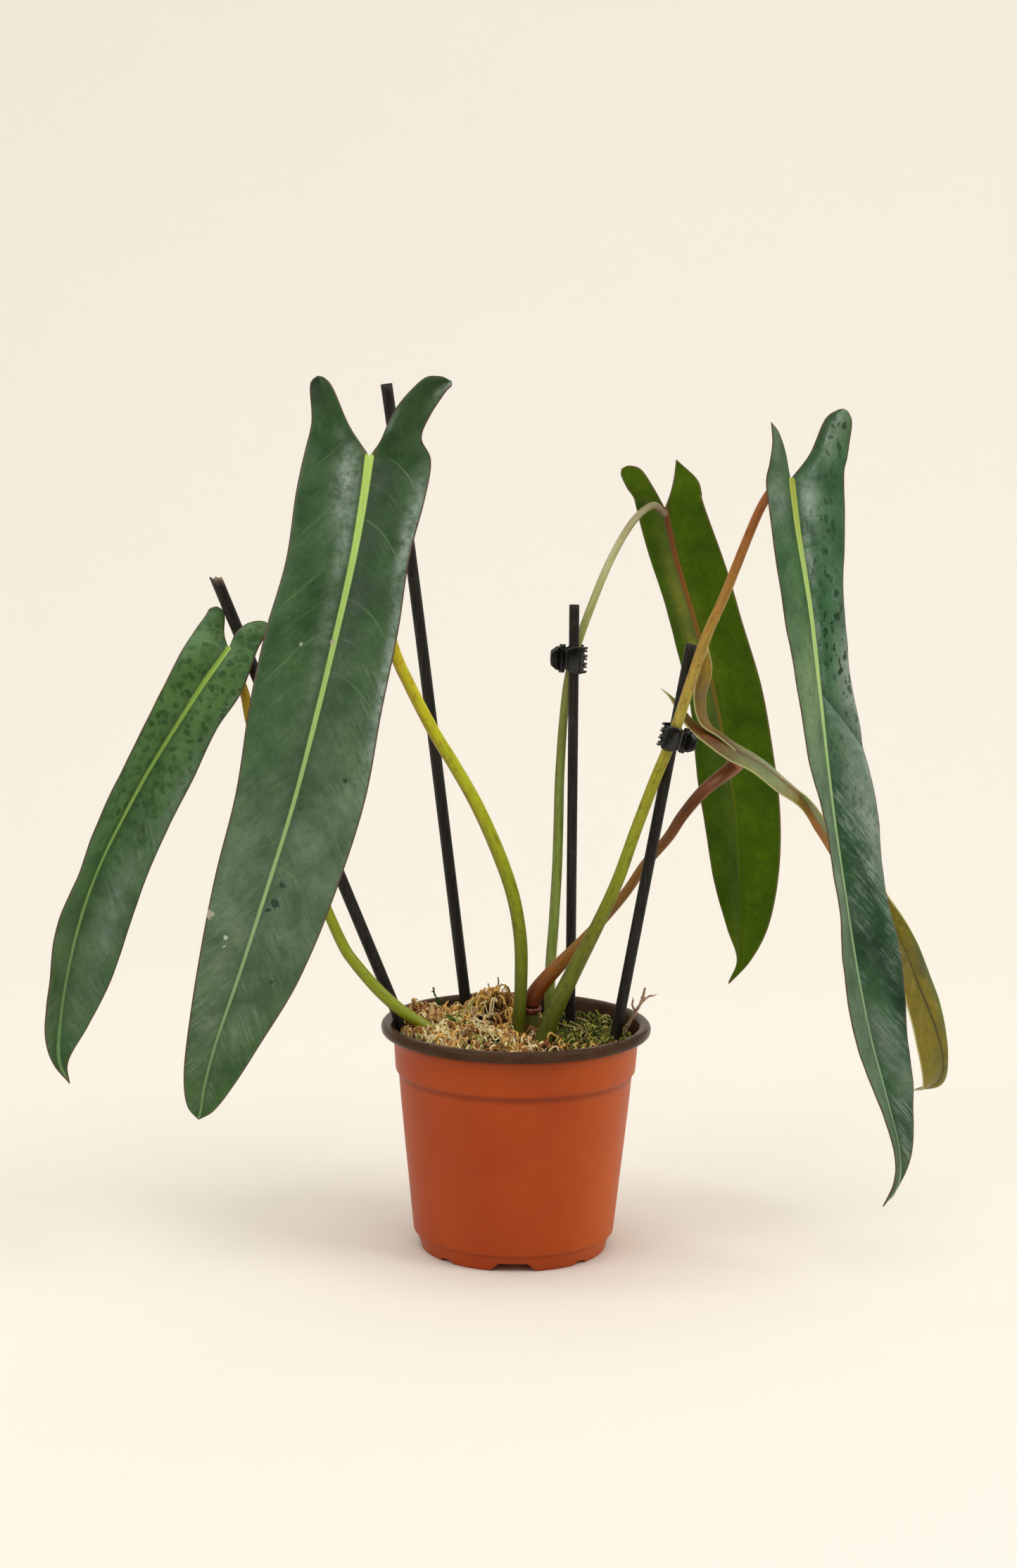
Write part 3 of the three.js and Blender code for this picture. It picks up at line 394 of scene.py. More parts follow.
def crumb(middle, size, luck, flat=0.75):
    """One small broken lump."""
    turn = Matrix.Rotation(luck.uniform(0, 6.28), 3, "Z") @ Matrix.Rotation(luck.uniform(-0.9, 0.9), 3, "X")
    rings = []
    for r, h in CRUMB_PROFILE:
        ring = []
        for k in range(5):
            angle = 2 * math.pi * k / 5 + luck.uniform(-0.3, 0.3)
            out = r * luck.uniform(0.7, 1.15) * size
            point = Vector((out * math.cos(angle), out * math.sin(angle) * 0.8, h * size * flat))
            ring.append(Vector(middle) + turn @ point)
        rings.append(ring)
    return skin_rings(rings)


def write_colours(piece, name, colours):
    """Stores one colour for each point of a piece, for its finish to read."""
    layer = piece.data.color_attributes.new(name, "FLOAT_COLOR", "POINT")
    full = np.ones((len(colours), 4), np.float32)
    full[:, :3] = colours
    layer.data.foreach_set("color", full.ravel())


def read_colour(near, name):
    return put(near, "Attribute", attribute_name=name).outputs["Color"]


soil, shader = new_finish("potting_mix")
clods = mottled(object_place(shader), 0.004, detail=6, roughness=0.7)
feed(shader, {"Base Color": mixed(spread(clods, 0.35, 0.68), (0.006, 0.003, 0.002), (0.040, 0.019, 0.010)),
              "Roughness": 0.92})
roughen(shader, clods, 0.0007)

chips, shader = new_finish("bark_chips_and_perlite")
place = object_place(shader)
chip_tone = mixed(mottled(place, 0.0012), read_colour(shader, "paint"), (0.010, 0.005, 0.003))
feed(shader, {"Base Color": chip_tone, "Roughness": 0.85})
roughen(shader, mottled(place, 0.0008), 0.0002)

lumps, lump_colours = [turned_body(SOIL_PROFILE, 96, soil_shift)], [PEAT]
for i in range(CRUMBS):
    turn = soil_luck.uniform(0, 2 * math.pi)
    r = SOIL_REACH * math.sqrt(soil_luck.uniform(0.05, 1))
    perlite = i % PERLITE_EVERY == 0
    size = soil_luck.uniform(0.5, 1.0) if perlite else soil_luck.uniform(0.6, 2.1)
    at = Vector((r * math.cos(turn), r * math.sin(turn), 0))
    z = SOIL_TOP + 0.3 + soil_heaps(at) + soil_luck.uniform(0, 0.5) * size
    lumps.append(crumb((at.x, at.y, z), size, soil_luck))
    shade = soil_luck.uniform(0.5, 1.5)
    lump_colours.append(PERLITE if perlite else tuple(c * shade for c in BARK))
points, faces, owners = gather(lumps)
bulk = len(lumps[0][1])
soil_piece = solid_piece("potting_soil_fill", points, faces, [soil, chips],
                         [0] * bulk + [1] * (len(faces) - bulk))
write_colours(soil_piece, "paint", np.array(lump_colours)[owners])
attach(soil_piece, "plant_and_pot")
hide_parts("potting_soil")

# Support stakes
# Four black plastic-coated plant stakes pushed down into the soil. Three have square-cut ends, and
# the left one is snapped off, so that its pale core shows.

# Each stake: the line of its middle from the soil up, and its radius
STAKES = {
    "stake_left": ([[-30.1, 0.2, 50], [-50.8, 0, 100], [-132.5, -2, 297.5]], 2.65),
    "stake_tall": ([[-15.9, 37.5, 45], [-23, 36, 102.5], [-46.4, 30, 284.5], [-60.5, 28, 382]], 2.6),
    "stake_middle": ([[24.8, 18, 35], [24.5, 18, 108], [23.5, 18, 286.5]], 2.25),
    "stake_right": ([[35.1, -7.1, 45], [43.5, -7, 94], [74, -6.7, 272]], 2.5),
}
STAKE_SIDES, STAKE_STEPS = 28, 90
CORE = np.array([0.30, 0.21, 0.14])


def unit(vectors, least=1e-9):
    """Vectors brought to a length of one."""
    return vectors / np.maximum(np.linalg.norm(vectors, axis=-1, keepdims=True), least)


def run_along(points):
    """The distance travelled along a row of points, from its start to each of them."""
    return np.concatenate([[0], np.cumsum(np.linalg.norm(np.diff(points, axis=0), axis=1))])


def spline(points, places):
    """Points of the smooth curve through a list of points, at places from 0 to 1."""
    p = np.asarray(points, float)
    full = np.vstack([2 * p[0] - p[1], p, 2 * p[-1] - p[-2]])
    where = np.clip(np.atleast_1d(places), 0, 1) * (len(p) - 1)
    i = np.minimum(where.astype(int), len(p) - 2)
    w = (where - i)[:, None]
    a, b, c, d = full[i], full[i + 1], full[i + 2], full[i + 3]
    slope_b, slope_c = (c - a) / 2, (d - b) / 2
    return ((2 * w**3 - 3 * w**2 + 1) * b + (w**3 - 2 * w**2 + w) * slope_b
            + (3 * w**2 - 2 * w**3) * c + (w**3 - w**2) * slope_c)


def evenly(points, count):
    """Points at equal steps along the smooth curve through a list of points, and its length."""
    dense = spline(points, np.linspace(0, 1, 60 * len(points)))
    run = run_along(dense)
    stops = np.linspace(0, run[-1], count)
    return np.stack([np.interp(stops, run, dense[:, k]) for k in range(3)], 1), run[-1]


def carried_frames(path, first_side=None):
    """A side and an up direction at each point of a path, carried along it without twisting."""
    along = unit(np.gradient(path, axis=0))
    side = np.cross([0, 1, 0], along[0]) if first_side is None else np.asarray(first_side, float)
    if np.linalg.norm(side) < 1e-3:
        side = np.cross([1, 0, 0], along[0])
    sides = []
    for t in along:
        side = unit(side - t * side.dot(t))
        sides.append(side)
    return along, np.array(sides), np.cross(along, sides)


def round_rings(path, radii, count):
    """Rings round a path, with both ends drawn in."""
    along, sides, ups = carried_frames(path)
    turns = full_turn(count)[:, None]
    rings = [p + r * (np.cos(turns) * s + np.sin(turns) * u) for p, s, u, r in zip(path, sides, ups, radii)]
    first, last = rings[0] - rings[0].mean(0), rings[-1] - rings[-1].mean(0)
    rings.insert(0, path[0] + first * 0.25 - along[0] * radii[0] * 0.1875)
    rings.append(path[-1] + last * 0.9 + along[-1] * radii[-1] * 0.04)
    return rings


def write_values(piece, name, values):
    """Stores one number for each point of a piece, for its finish to read."""
    layer = piece.data.attributes.new(name, "FLOAT", "POINT")
    layer.data.foreach_set("value", np.asarray(values, np.float32))


def read_value(near, name):
    return put(near, "Attribute", attribute_name=name).outputs["Fac"]


def new_effect(name, inputs, outputs=("Colour", "Roughness", "Height")):
    """An empty effect group, what it is given, and the node that takes its results."""
    group = bpy.data.node_groups.new(name, "ShaderNodeTree")
    for socket_name, value in inputs.items():
        coloured = isinstance(value, tuple)
        socket = group.interface.new_socket(socket_name, in_out="INPUT",
                                            socket_type="NodeSocketColor" if coloured else "NodeSocketFloat")
        socket.default_value = (*value, 1) if coloured else value
    for socket_name in outputs:
        kind = "NodeSocketColor" if socket_name == "Colour" else "NodeSocketFloat"
        group.interface.new_socket(socket_name, in_out="OUTPUT", socket_type=kind)
    return group, group.nodes.new("NodeGroupInput").outputs, group.nodes.new("NodeGroupOutput")


def move(how, first, second):
    """One sum on two places."""
    return put(first, "VectorMath", {0: first, 1: second}, operation=how).outputs[0]


# Drawn surface: fine lines along the piece, from the tool that it was drawn through
drawn_surface, given, result = new_effect("drawn_surface", {"Stretch": 0.1, "Fineness": 900.0, "Detail": 2.0},
                                          ["Lines"])
stretch = put(result, "CombineXYZ", {0: 1.0, 1: 1.0, 2: given["Stretch"]}).outputs[0]
drawn = move("MULTIPLY", object_place(result), stretch)
lines = put(result, "TexNoise", {"Vector": drawn, "Scale": given["Fineness"], "Detail": given["Detail"]})
feed(result, {"Lines": lines.outputs["Fac"]})

stake_black, shader = new_finish("stake_black")
lines = put(shader, "Group", {"Stretch": 0.06, "Fineness": 900, "Detail": 3},
            node_tree=drawn_surface).outputs[0]
blots = mottled(object_place(shader), 0.006, detail=4)
tone = mixed(spread(lines, 0.35, 0.7), (0.0060, 0.0048, 0.0038), (0.024, 0.020, 0.016))
tone = mixed(spread(blots, 0.60, 0.72, 0, 0.5), tone, (0.045, 0.040, 0.034))
tone = mixed(read_value(shader, "broken"), tone, read_colour(shader, "core"))
feed(shader, {"Base Color": tone, "Roughness": 0.50, "Specular IOR Level": 0.26})
roughen(shader, lines, 0.00012)

for name, (path, radius) in STAKES.items():
    line, _ = evenly(path, STAKE_STEPS)
    rings = round_rings(line, np.full(STAKE_STEPS, radius), STAKE_SIDES)
    luck = random.Random(name)
    broken = [0] * len(rings)
    if name == "stake_left":
        splinter = np.array([luck.uniform(-1, 1) for _ in range(STAKE_SIDES)])
        up = unit(line[-1] - line[-2])
        slant = rings[-1][:, 0] - rings[-1][:, 0].mean()
        for depth, share in ((2, 1.0), (3, 0.7)):
            rings[-depth] = rings[-depth] + up * ((splinter * 0.9 - slant * 0.75) * share)[:, None]
        tip = rings[-1]
        for share, drop in ((0.66, -1.1), (0.33, 0.2), (0.1, 0.9)):
            jag = np.array([luck.uniform(-0.9, 0.9) for _ in range(STAKE_SIDES)])
            rings.append(tip.mean(0) + (tip - tip.mean(0)) * share + up * (drop + jag * share)[:, None])
        broken = [0] * (len(rings) - 5) + [0.35, 1, 1, 1, 1]
    points, faces = skin_rings(rings)
    stake = solid_piece(name, points, faces, [stake_black])
    write_values(stake, "broken", np.repeat(broken, STAKE_SIDES))
    write_colours(stake, "core", np.array([luck.uniform(0.55, 1.2) for _ in points])[:, None] * CORE)
    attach(stake, "plant_and_pot")
    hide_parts(name)

# Main stem and leaf stalks
# The short green main stem ends in a glossy red-brown scar ring. Five fleshy leaf stalks rise from
# it and from the soil round it, faintly grooved and flecked, olive to orange-brown by age.

SEAT_GAP = 0.4
STALK_STEPS, STALK_SIDES = 150, 20
MAIN_STEM = [[7, 2, 62], [6.5, 1.5, 84], [6.4, 1.5, 98], [6.6, 1.5, 106.6]]
MAIN_STEM_RADIUS = [3.4, 3.6, 3.7]
STEM_STEPS, STEM_SIDES = 40, 32
SCAR_RING = [6.6, 1.5, 107.4]
SCAR_PROFILE = [(3.6, -1.7), (4.2, -1.3), (4.55, -0.7), (4.72, 0.0), (4.6, 0.6), (4.25, 1.05), (3.7, 1.28),
                (1.5, 1.3)]

# Each leaf, in mm. Rib and margins run from the sinus to the tip. A lobe is its tip and then pairs of
# points, on the sinus edge and on the margin. The rib's half width is at the sinus and at the tip, and
# the arch is how far each half bulges for its width. The seat is the face that the stalk ends on, and
# how far down the rib. A crease is its side, its start down the rib and its slope.
FRONT_LEAF = {
    "rib": [[-65, -26, 352], [-67.5, -31, 332], [-71.5, -38, 307.5], [-78, -45, 277], [-85, -52, 246.5],
            [-94.5, -59, 208.5], [-105, -65, 173.5], [-116, -70, 138.5], [-126, -73, 108.5],
            [-130.5, -75, 91], [-132, -76, 81], [-133, -76, 76.5]],
    "left": [[-92, -29, 354.5], [-95.5, -35, 335.5], [-99, -43, 309], [-107, -51, 279], [-113, -59, 249],
             [-118, -66, 213.5], [-126.5, -71, 178], [-133, -75, 142.5], [-137.5, -77, 111.5],
             [-139, -77, 94], [-137.5, -77, 82.5]],
    "right": [[-39, -30, 350.5], [-41.5, -35, 334], [-47.5, -42, 310], [-51.5, -49, 281], [-58, -56, 247.5],
              [-64.5, -63, 210.5], [-76.5, -69, 172], [-91, -73, 136.5], [-109.5, -75, 105],
              [-118.5, -76, 91], [-126.5, -76, 80.5]],
    "left_lobe": {"tip": [-87, -24, 385.5], "pairs": [[[-84, -24.3, 384.4], [-89.4, -24, 383.8]],
                 [[-80.5, -25, 380], [-90.5, -24, 380]], [[-74, -26, 365.5], [-89.5, -27, 366.5]]]},
    "right_lobe": {"tip": [-30.5, -33, 384], "pairs": [[[-35.5, -32.4, 386], [-30.6, -33, 382]],
                  [[-43, -31, 384.5], [-33, -33, 379.5]], [[-54, -28, 372.5], [-39.5, -32, 369.5]],
                  [[-60.5, -27, 359], [-43, -31, 360]]]},
    "rib_half": [1.3, 0.5], "arch": 0.06, "seat": {"side": 1, "down": 0.2},
}
LEFT_LEAF = {
    "rib": [[-126.5, -9, 268], [-137, -13, 253.5], [-148.5, -17, 235.5], [-160.5, -21, 216],
            [-172, -25, 194.5], [-181.5, -29, 174.5], [-189, -32, 152.5], [-194.5, -35, 128.5],
            [-197.5, -37, 105.5], [-197.5, -38, 91], [-193, -38, 81]],
    "left": [[-144.5, -13, 270.5], [-150, -20, 259.5], [-158.5, -27, 241], [-169, -32, 220.5],
             [-179.5, -37, 196.5], [-187.5, -41, 175], [-196, -44, 154], [-200.5, -45, 129.5],
             [-202.5, -43, 105], [-200, -40, 91]],
    "right": [[-114, -13, 267.5], [-121, -14, 249], [-131.5, -16, 233], [-141.5, -18, 212],
              [-151.5, -21, 191], [-160.5, -25, 171], [-167.5, -29, 149.5], [-175.5, -33, 126],
              [-185.5, -36, 105.5], [-193.5, -38, 91]],
    "left_lobe": {"tip": [-133, 2, 285.5], "pairs": [[[-130.6, 1.6, 284.2], [-135.8, 1.3, 284.4]],
                 [[-129.2, 1, 281], [-137.5, 0, 281.5]], [[-129.2, -3, 274], [-141.5, -6, 275.5]]]},
    "right_lobe": {"tip": [-110.2, -8, 279.3], "pairs": [[[-114, -8.4, 280.2], [-109.6, -9.4, 277.4]],
                  [[-119, -9, 278.8], [-110.4, -11, 274.4]], [[-123.4, -9, 275], [-112.2, -12, 271]]]},
    "rib_half": [1.1, 0.5], "arch": 0.06, "seat": {"side": 1, "down": 0.2},
}
RIGHT_LEAF = {
    "rib": [[111.5, -42, 345], [114.5, -46, 322.5], [119.5, -50, 293.5], [123.5, -54, 264], [127, -58, 235],
            [131, -61, 206], [136, -64, 176], [141.5, -66, 145.5], [148, -68, 115.5], [156, -70, 87.5],
            [162, -71, 65], [162.5, -70, 50], [156.5, -69, 40]],
    "left": [[101, -52, 343], [103, -59, 321.5], [108, -65, 294], [113, -70, 265.5], [118.5, -75, 237],
             [125, -79, 208], [131.5, -82, 179.5], [134.5, -82, 149], [140.5, -81, 118], [151, -79, 88],
             [159.5, -75, 64.5], [160.5, -72, 51.5]],
    "right": [[134, -39, 345.5], [135, -41, 322], [136, -42, 293], [138.5, -44, 265], [144.5, -48, 236.5],
              [150.5, -52, 207.5], [155, -55, 176.5], [162, -58, 145], [165.5, -62, 115.5],
              [168, -66, 86.5], [167.5, -70, 63], [163, -70, 49.5]],
    "left_lobe": {"tip": [103, -43, 369], "pairs": [[[106.5, -42, 364.5], [103.5, -45, 360.5]],
                 [[109.5, -42, 355], [102, -49, 351.5]]]},
    "right_lobe": {"tip": [134, -36, 374], "pairs": [[[130.5, -36.7, 373.4], [136, -36.3, 372]],
                  [[125.5, -38, 369.5], [137, -37, 367.5]], [[119.5, -40, 355.5], [135.5, -38, 355]]]},
    "rib_half": [1.3, 0.5], "arch": 0.05, "crease": (1, 88, 1.33), "seat": {"side": 1, "down": 0.2},
}
BACK_LEAF = {
    "rib": [[65, 62, 327], [71, 66, 303.5], [80.5, 70, 274.5], [89.5, 73, 244.5], [96, 75, 216],
            [101.5, 77, 186.5], [104, 78, 158], [105.5, 78, 131], [105, 78, 115], [100.5, 77, 103]],
    "left": [[52.5, 70, 326], [60.5, 77, 301], [69.5, 82, 273.5], [78.5, 86, 242], [83, 88, 210.5],
             [87.5, 89, 181.5], [92.5, 88, 154], [99.5, 84, 128.5], [104, 80, 114.5]],
    "right": [[82.5, 62, 329.5], [92.5, 66, 304], [101.5, 70, 277], [111.5, 73, 246.5], [118, 76, 216.5],
              [122.5, 78, 186.5], [123, 79, 158], [119, 79, 132], [111, 78, 115]],
    "left_lobe": {"tip": [45, 61, 345], "pairs": [[[48.5, 61, 346.3], [44.8, 61.3, 342]], [[54, 61, 344.5],
                 [47.5, 62, 336.5]], [[59.5, 61, 336.5], [51, 64, 331.5]]]},
    "right_lobe": {"tip": [69.5, 59, 349.5], "pairs": [[[68.5, 60, 340.5], [79, 61, 341]], [[67, 61, 333],
                  [81.5, 62, 334.5]]]},
    "rib_half": [1.2, 0.5], "arch": -0.05, "seat": {"side": -1, "down": 0.05},
}
YOUNG_LEAF = {
    "rib": [[97, 20, 221.5], [107, 20, 216.5], [117.5, 18, 209], [128, 14, 200], [136.5, 9, 188],
            [148.5, 4, 173], [160.5, 1, 157.5], [170.5, 0, 139], [178.5, 1, 120.5], [186, 4, 103.5],
            [191.5, 8, 86.5], [191, 13, 74.5], [181, 20, 67.5]],
    "left": [[92.3, 11.5, 219.3], [103.6, 10.6, 213.6], [114.2, 11, 205.5], [125.5, 14, 197.5],
             [134.5, 18, 184.5], [144, 10, 169], [154.5, -2, 155.5], [167, -6, 137.5], [171.5, -6, 117],
             [176.5, -4, 100.5], [180.5, 0, 86], [183, 8, 72.5]],
    "right": [[99, 27, 223.5], [109, 28, 217], [120, 25, 208.5], [129, 10, 202], [138, 2, 191.5],
              [150.5, -4, 177.5], [163.5, -2, 161.5], [177.5, 6, 140.5], [186, 10, 120.5], [192, 10, 103.5],
              [194.5, 10, 87], [193, 16, 72]],
    "left_lobe": {"tip": [63, 26, 249], "pairs": [[[71, 25, 242.5], [67, 24, 244.5]], [[79.5, 23, 233.5],
                 [74.2, 19.6, 233]], [[89, 21, 227], [82.8, 14.6, 225.6]]]},
    "right_lobe": {"tip": [83, 17, 268.5], "pairs": [[[78.5, 16, 257.5], [85, 20, 258]], [[77, 17, 245.5],
                  [83, 24, 245]], [[80.5, 18, 234], [85, 26, 234]], [[89, 19, 228], [91.5, 27, 228.5]]]},
    "rib_half": [0.9, 0.45], "arch": 0.04, "seat": {"side": 1, "down": 0.2},
}
FRONT_PETIOLE = {
    "path": [[0.5, -5.2, 80], [0.5, -5.4, 96], [1.5, -5.4, 109.5], [2, -4, 122], [1.5, -1, 139.5],
             [-2, 2, 158.5], [-9, 4, 178], [-18.5, 5, 198.5], [-28.5, 5, 216], [-38, 4, 231.5],
             [-48.5, 1, 252], [-55, -2, 267], [-60, -6, 287.5], [-63.5, -10, 312], [-65, -13, 334]],
    "radius": [2.6, 2.9, 3, 2.8, 2.6, 2.4, 2.2],
}
LEFT_PETIOLE = {
    "path": [[-21, -12, 82], [-27, -11, 91], [-35.5, -10, 98.5], [-43, -10, 103.5], [-52, -9, 109.5],
             [-62, -8, 118.5], [-72, -7, 130], [-77, -6, 137.5], [-84.5, -5, 154], [-93, -4, 175],
             [-104, -4, 200], [-111.5, -4, 218.5], [-117.5, -4, 234.5], [-121, -3.5, 250.5]],
    "radius": [2.7, 2.7, 2.4, 2.2, 2.1, 2],
}
RIGHT_PETIOLE = {
    "path": [[8, -12, 81], [10.5, -14, 90], [12, -14, 96], [15, -13.4, 106], [20.5, -13, 118.5],
             [27, -12.4, 132], [36.5, -12.2, 151.5], [44, -12.2, 169.5], [51, -12.2, 190.5],
             [59, -12.2, 213], [64.5, -12.2, 227], [69, -12.2, 240.5], [74, -13, 257.5], [80, -16, 277],
             [86.5, -20, 293.5], [91.5, -24.5, 308], [96, -28, 321], [100.6, -31.5, 333],
             [105.5, -34.6, 341]],
    "radius": [3.9, 3.9, 3, 2.6, 2.5, 2.4, 2.2, 2, 1.9],
}
BACK_PETIOLE = {
    "path": [[14, 12, 82], [15.2, 14, 94], [15.1, 15, 110], [15.3, 15.5, 125], [16.5, 17, 144],
             [17.6, 19, 168], [18, 20.6, 190], [18.2, 21.4, 208], [19.2, 22, 230], [20.6, 22.4, 247],
             [22, 22.8, 256], [23.6, 23, 262.5], [25.3, 23.5, 268.5], [28.2, 25.2, 277], [32, 28.4, 287],
             [36, 32.5, 297], [40.5, 37.5, 306.5], [45.5, 42.5, 315.5], [50.5, 47.5, 322.5],
             [55.5, 52, 327], [60.3, 55.6, 328.8]],
    "radius": [2.4, 2.4, 2.3, 2.2, 1.9, 1.8, 1.7, 1.6],
}
YOUNG_PETIOLE = {
    "path": [[6.7, 1.5, 109.1], [6.9, 1.5, 111.6], [8.9, 1.4, 115.6], [12.7, 1.3, 120.6], [18, 1.6, 126.6],
             [27.5, 3, 136.5], [40, 5, 150], [48.5, 6, 160.5], [56.5, 7, 172.5], [66.5, 8, 184.5],
             [73, 9.5, 194.5], [82.5, 11.8, 205.5]],
    "radius": [3.8, 3.4, 2.5, 2.2, 2.2, 2.3, 2.6, 3.1, 3.7],
}

# Each stalk: leaf, path, bend behind the blade, colours from the soil up, slot
STALKS = {
    "petiole_front": (FRONT_LEAF, FRONT_PETIOLE, 9,
                      [(0.05, 0.065, 0.002), (0.12, 0.155, 0.002), (0.24, 0.29, 0.003), (0.38, 0.42, 0.004),
                       (0.5, 0.53, 0.006), (0.6, 0.56, 0.008), (0.62, 0.47, 0.008), (0.56, 0.32, 0.008),
                       (0.3, 0.26, 0.01)],
                      "green_stem"),
    "petiole_left": (LEFT_LEAF, LEFT_PETIOLE, 5,
                     [(0.2, 0.26, 0.006), (0.27, 0.33, 0.006), (0.28, 0.34, 0.006), (0.36, 0.36, 0.006),
                      (0.48, 0.34, 0.006), (0.45, 0.26, 0.006)], "green_stem"),
    "petiole_right": (RIGHT_LEAF, RIGHT_PETIOLE, 4,
                      [(0.055, 0.08, 0.004), (0.11, 0.14, 0.004), (0.17, 0.19, 0.004), (0.28, 0.33, 0.008),
                       (0.35, 0.34, 0.015), (0.46, 0.36, 0.05), (0.46, 0.26, 0.035), (0.42, 0.16, 0.022),
                       (0.33, 0.085, 0.02)], "green_stem"),
    "petiole_back": (BACK_LEAF, BACK_PETIOLE, 2.4,
                     [(0.2, 0.3, 0.03), (0.28, 0.38, 0.07), (0.24, 0.32, 0.05), (0.23, 0.28, 0.05),
                      (0.3, 0.33, 0.08), (0.42, 0.42, 0.18), (0.2, 0.14, 0.08)], "green_stem"),
    # The young stalk's last colour, pale pink, is a painted highlight on the lit top of its end
    "petiole_young": (YOUNG_LEAF, YOUNG_PETIOLE, 6,
                      [(0.18, 0.024, 0.004), (0.28, 0.095, 0.006), (0.27, 0.12, 0.01), (0.23, 0.11, 0.012),
                       (0.25, 0.105, 0.014), (0.18, 0.064, 0.008), (0.12, 0.03, 0.004), (0.17, 0.05, 0.008),
                       (0.46, 0.17, 0.09)], "brown_stem"),
}
# Each stalk's material: name, strength of the streaks and of the flecks
STALK_LOOKS = {
    "petiole_front": ("stalk_olive_green", 0.45, 0.8),
    "petiole_left": ("stalk_yellow_green", 0.25, 0.4),
    "petiole_right": ("stalk_green_to_orange", 0.60, 0.9),
    "petiole_back": ("stalk_pale_green", 0.6, 0.5),
    "petiole_young": ("stalk_red_brown", 0.4, 0.4),
}


def level(table, places):
    """Values of an evenly spaced table at places from 0 to 1, one number or one colour each."""
    table = np.asarray(table, float)
    knots = np.linspace(0, 1, len(table))
    if table.ndim == 1:
        return np.interp(places, knots, table)
    return np.stack([np.interp(places, knots, column) for column in table.T], -1)


# Fleshy stalk skin: long pale and dark streaks, bruises, small brown flecks, fine lengthwise grooves
stalk_skin, given, result = new_effect("stalk_skin", {"Colour": (0.1, 0.15, 0.01), "Streaks": 0.3,
                                                      "Flecks": 0.5})
round_x, round_y, along_mm = (read_value(result, name) for name in ("round_x", "round_y", "along_mm"))
wrap, near = (put(result, "CombineXYZ", {0: round_x, 1: round_y, 2: times(along_mm, stretch)}).outputs[0]
              for stretch in (0.035, 0.22))
streaks = mottled(wrap, 1 / 2.6, 4, 0.5)
tone = given["Colour"]
tone = mixed(times(spread(streaks, 0.50, 0.72), given["Streaks"]), tone, tinted(tone, (1.45, 1.35, 2.2)))
tone = mixed(times(spread(streaks, 0.46, 0.28), given["Streaks"]), tone, tinted(tone, (0.50, 0.55, 0.50)))
bruise = times(spread(mottled(near, 1 / 1.1, 4, 0.5), 0.52, 0.66), given["Flecks"], 0.7)
tone = mixed(bruise, tone, tinted(tone, (0.66, 0.44, 0.5)))
fleck = times(spread(mottled(near, 1 / 1.9, 3, 0.5), 0.68, 0.74), given["Flecks"])
feed(result, {"Colour": mixed(fleck, tone, (0.035, 0.028, 0.008)),
              "Roughness": spread(streaks, 0.3, 0.7, 0.36, 0.50), "Height": streaks})


def stalk_finish(name, streaks, flecks):
    """A stalk's material, with its own strength of streaks and flecks."""
    material, shader = new_finish(name)
    skin = put(shader, "Group", {"Colour": read_colour(shader, "paint"), "Streaks": streaks,
                                 "Flecks": flecks}, node_tree=stalk_skin).outputs
    feed(shader, {"Base Color": skin["Colour"], "Roughness": skin["Roughness"], "Specular IOR Level": 0.36,
                  "Subsurface Weight": 0.06, "Subsurface Radius": (0.002, 0.0025, 0.0006)})
    roughen(shader, skin["Height"], 0.00035)
    return material


def wrap_round(piece, along_mm, turns):
    """Tells the stalk skin how far up and how far round each point lies."""
    for name, values in (("along_mm", along_mm), ("round_x", np.cos(turns)), ("round_y", np.sin(turns))):
        write_values(piece, name, values)


def stalk_path(leaf, stalk, bend):
    """The stalk's middle line up to the back of the blade, just down the rib from the sinus."""
    t = leaf["seat"]["down"] / (len(leaf["rib"]) - 1)
    here, ahead = spline(leaf["rib"], [t, t + 1e-4])
    out = unit(np.cross(np.subtract(leaf["right"][0], leaf["left"][0]), ahead - here)) * leaf["seat"]["side"]
    gap = leaf["rib_half"][0] + SEAT_GAP
    return stalk["path"] + [list(here + out * reach) for reach in (gap + bend, gap + bend / 2, gap)]


def make_stalk(name, path, radii, colours, finish):
    """A tapering fleshy stalk with a shallow groove on its back and slight swellings."""
    line, length = evenly(path, STALK_STEPS)
    places = np.linspace(0, 1, STALK_STEPS)
    turns = full_turn(STALK_SIDES)
    groove = 1 - 0.10 * np.exp(-((turns - 1.3) / 0.42) ** 2) - 0.05 * np.exp(-((turns - 4.4) / 0.3) ** 2)
    along, sides, ups = carried_frames(line)
    rings = []
    for p, s, u, radius, share in zip(line, sides, ups, level(radii, places), places):
        swell = 1 + 0.018 * noise.noise(Vector((share * length / 16, len(name), 0)))
        r = radius * swell * groove
        rings.append(p + (r * np.cos(turns))[:, None] * s + (r * np.sin(turns))[:, None] * u)
    last = rings[-1]
    rings.append(last.mean(0) + (last - last.mean(0)) * 0.8 + along[-1] * 0.25)
    piece = solid_piece(name, *skin_rings(rings), [finish])
    marks = np.append(places, 1.0)
    outward = unit(np.vstack([ring - ring.mean(0) for ring in rings]))
    # Painted shade: each stalk is painted darker and browner on its lower left side, away from the light
    painted_shade = np.clip(-0.75 * outward[:, 0] - 0.66 * outward[:, 2], 0, 1)[:, None] ** 1.6
    tone = np.repeat(level(colours, marks), STALK_SIDES, axis=0)
    write_colours(piece, "paint", tone * (1 - painted_shade * (0.55, 0.72, 0.62)))
    wrap_round(piece, np.repeat(marks * length, STALK_SIDES), np.tile(turns, len(rings)))
    return piece


for name, (leaf, stalk, bend, colours, slot) in STALKS.items():
    piece = make_stalk(name, stalk_path(leaf, stalk, bend), stalk["radius"], colours,
                       stalk_finish(*STALK_LOOKS[name]))
    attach(piece, "plant_and_pot")
    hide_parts(name)

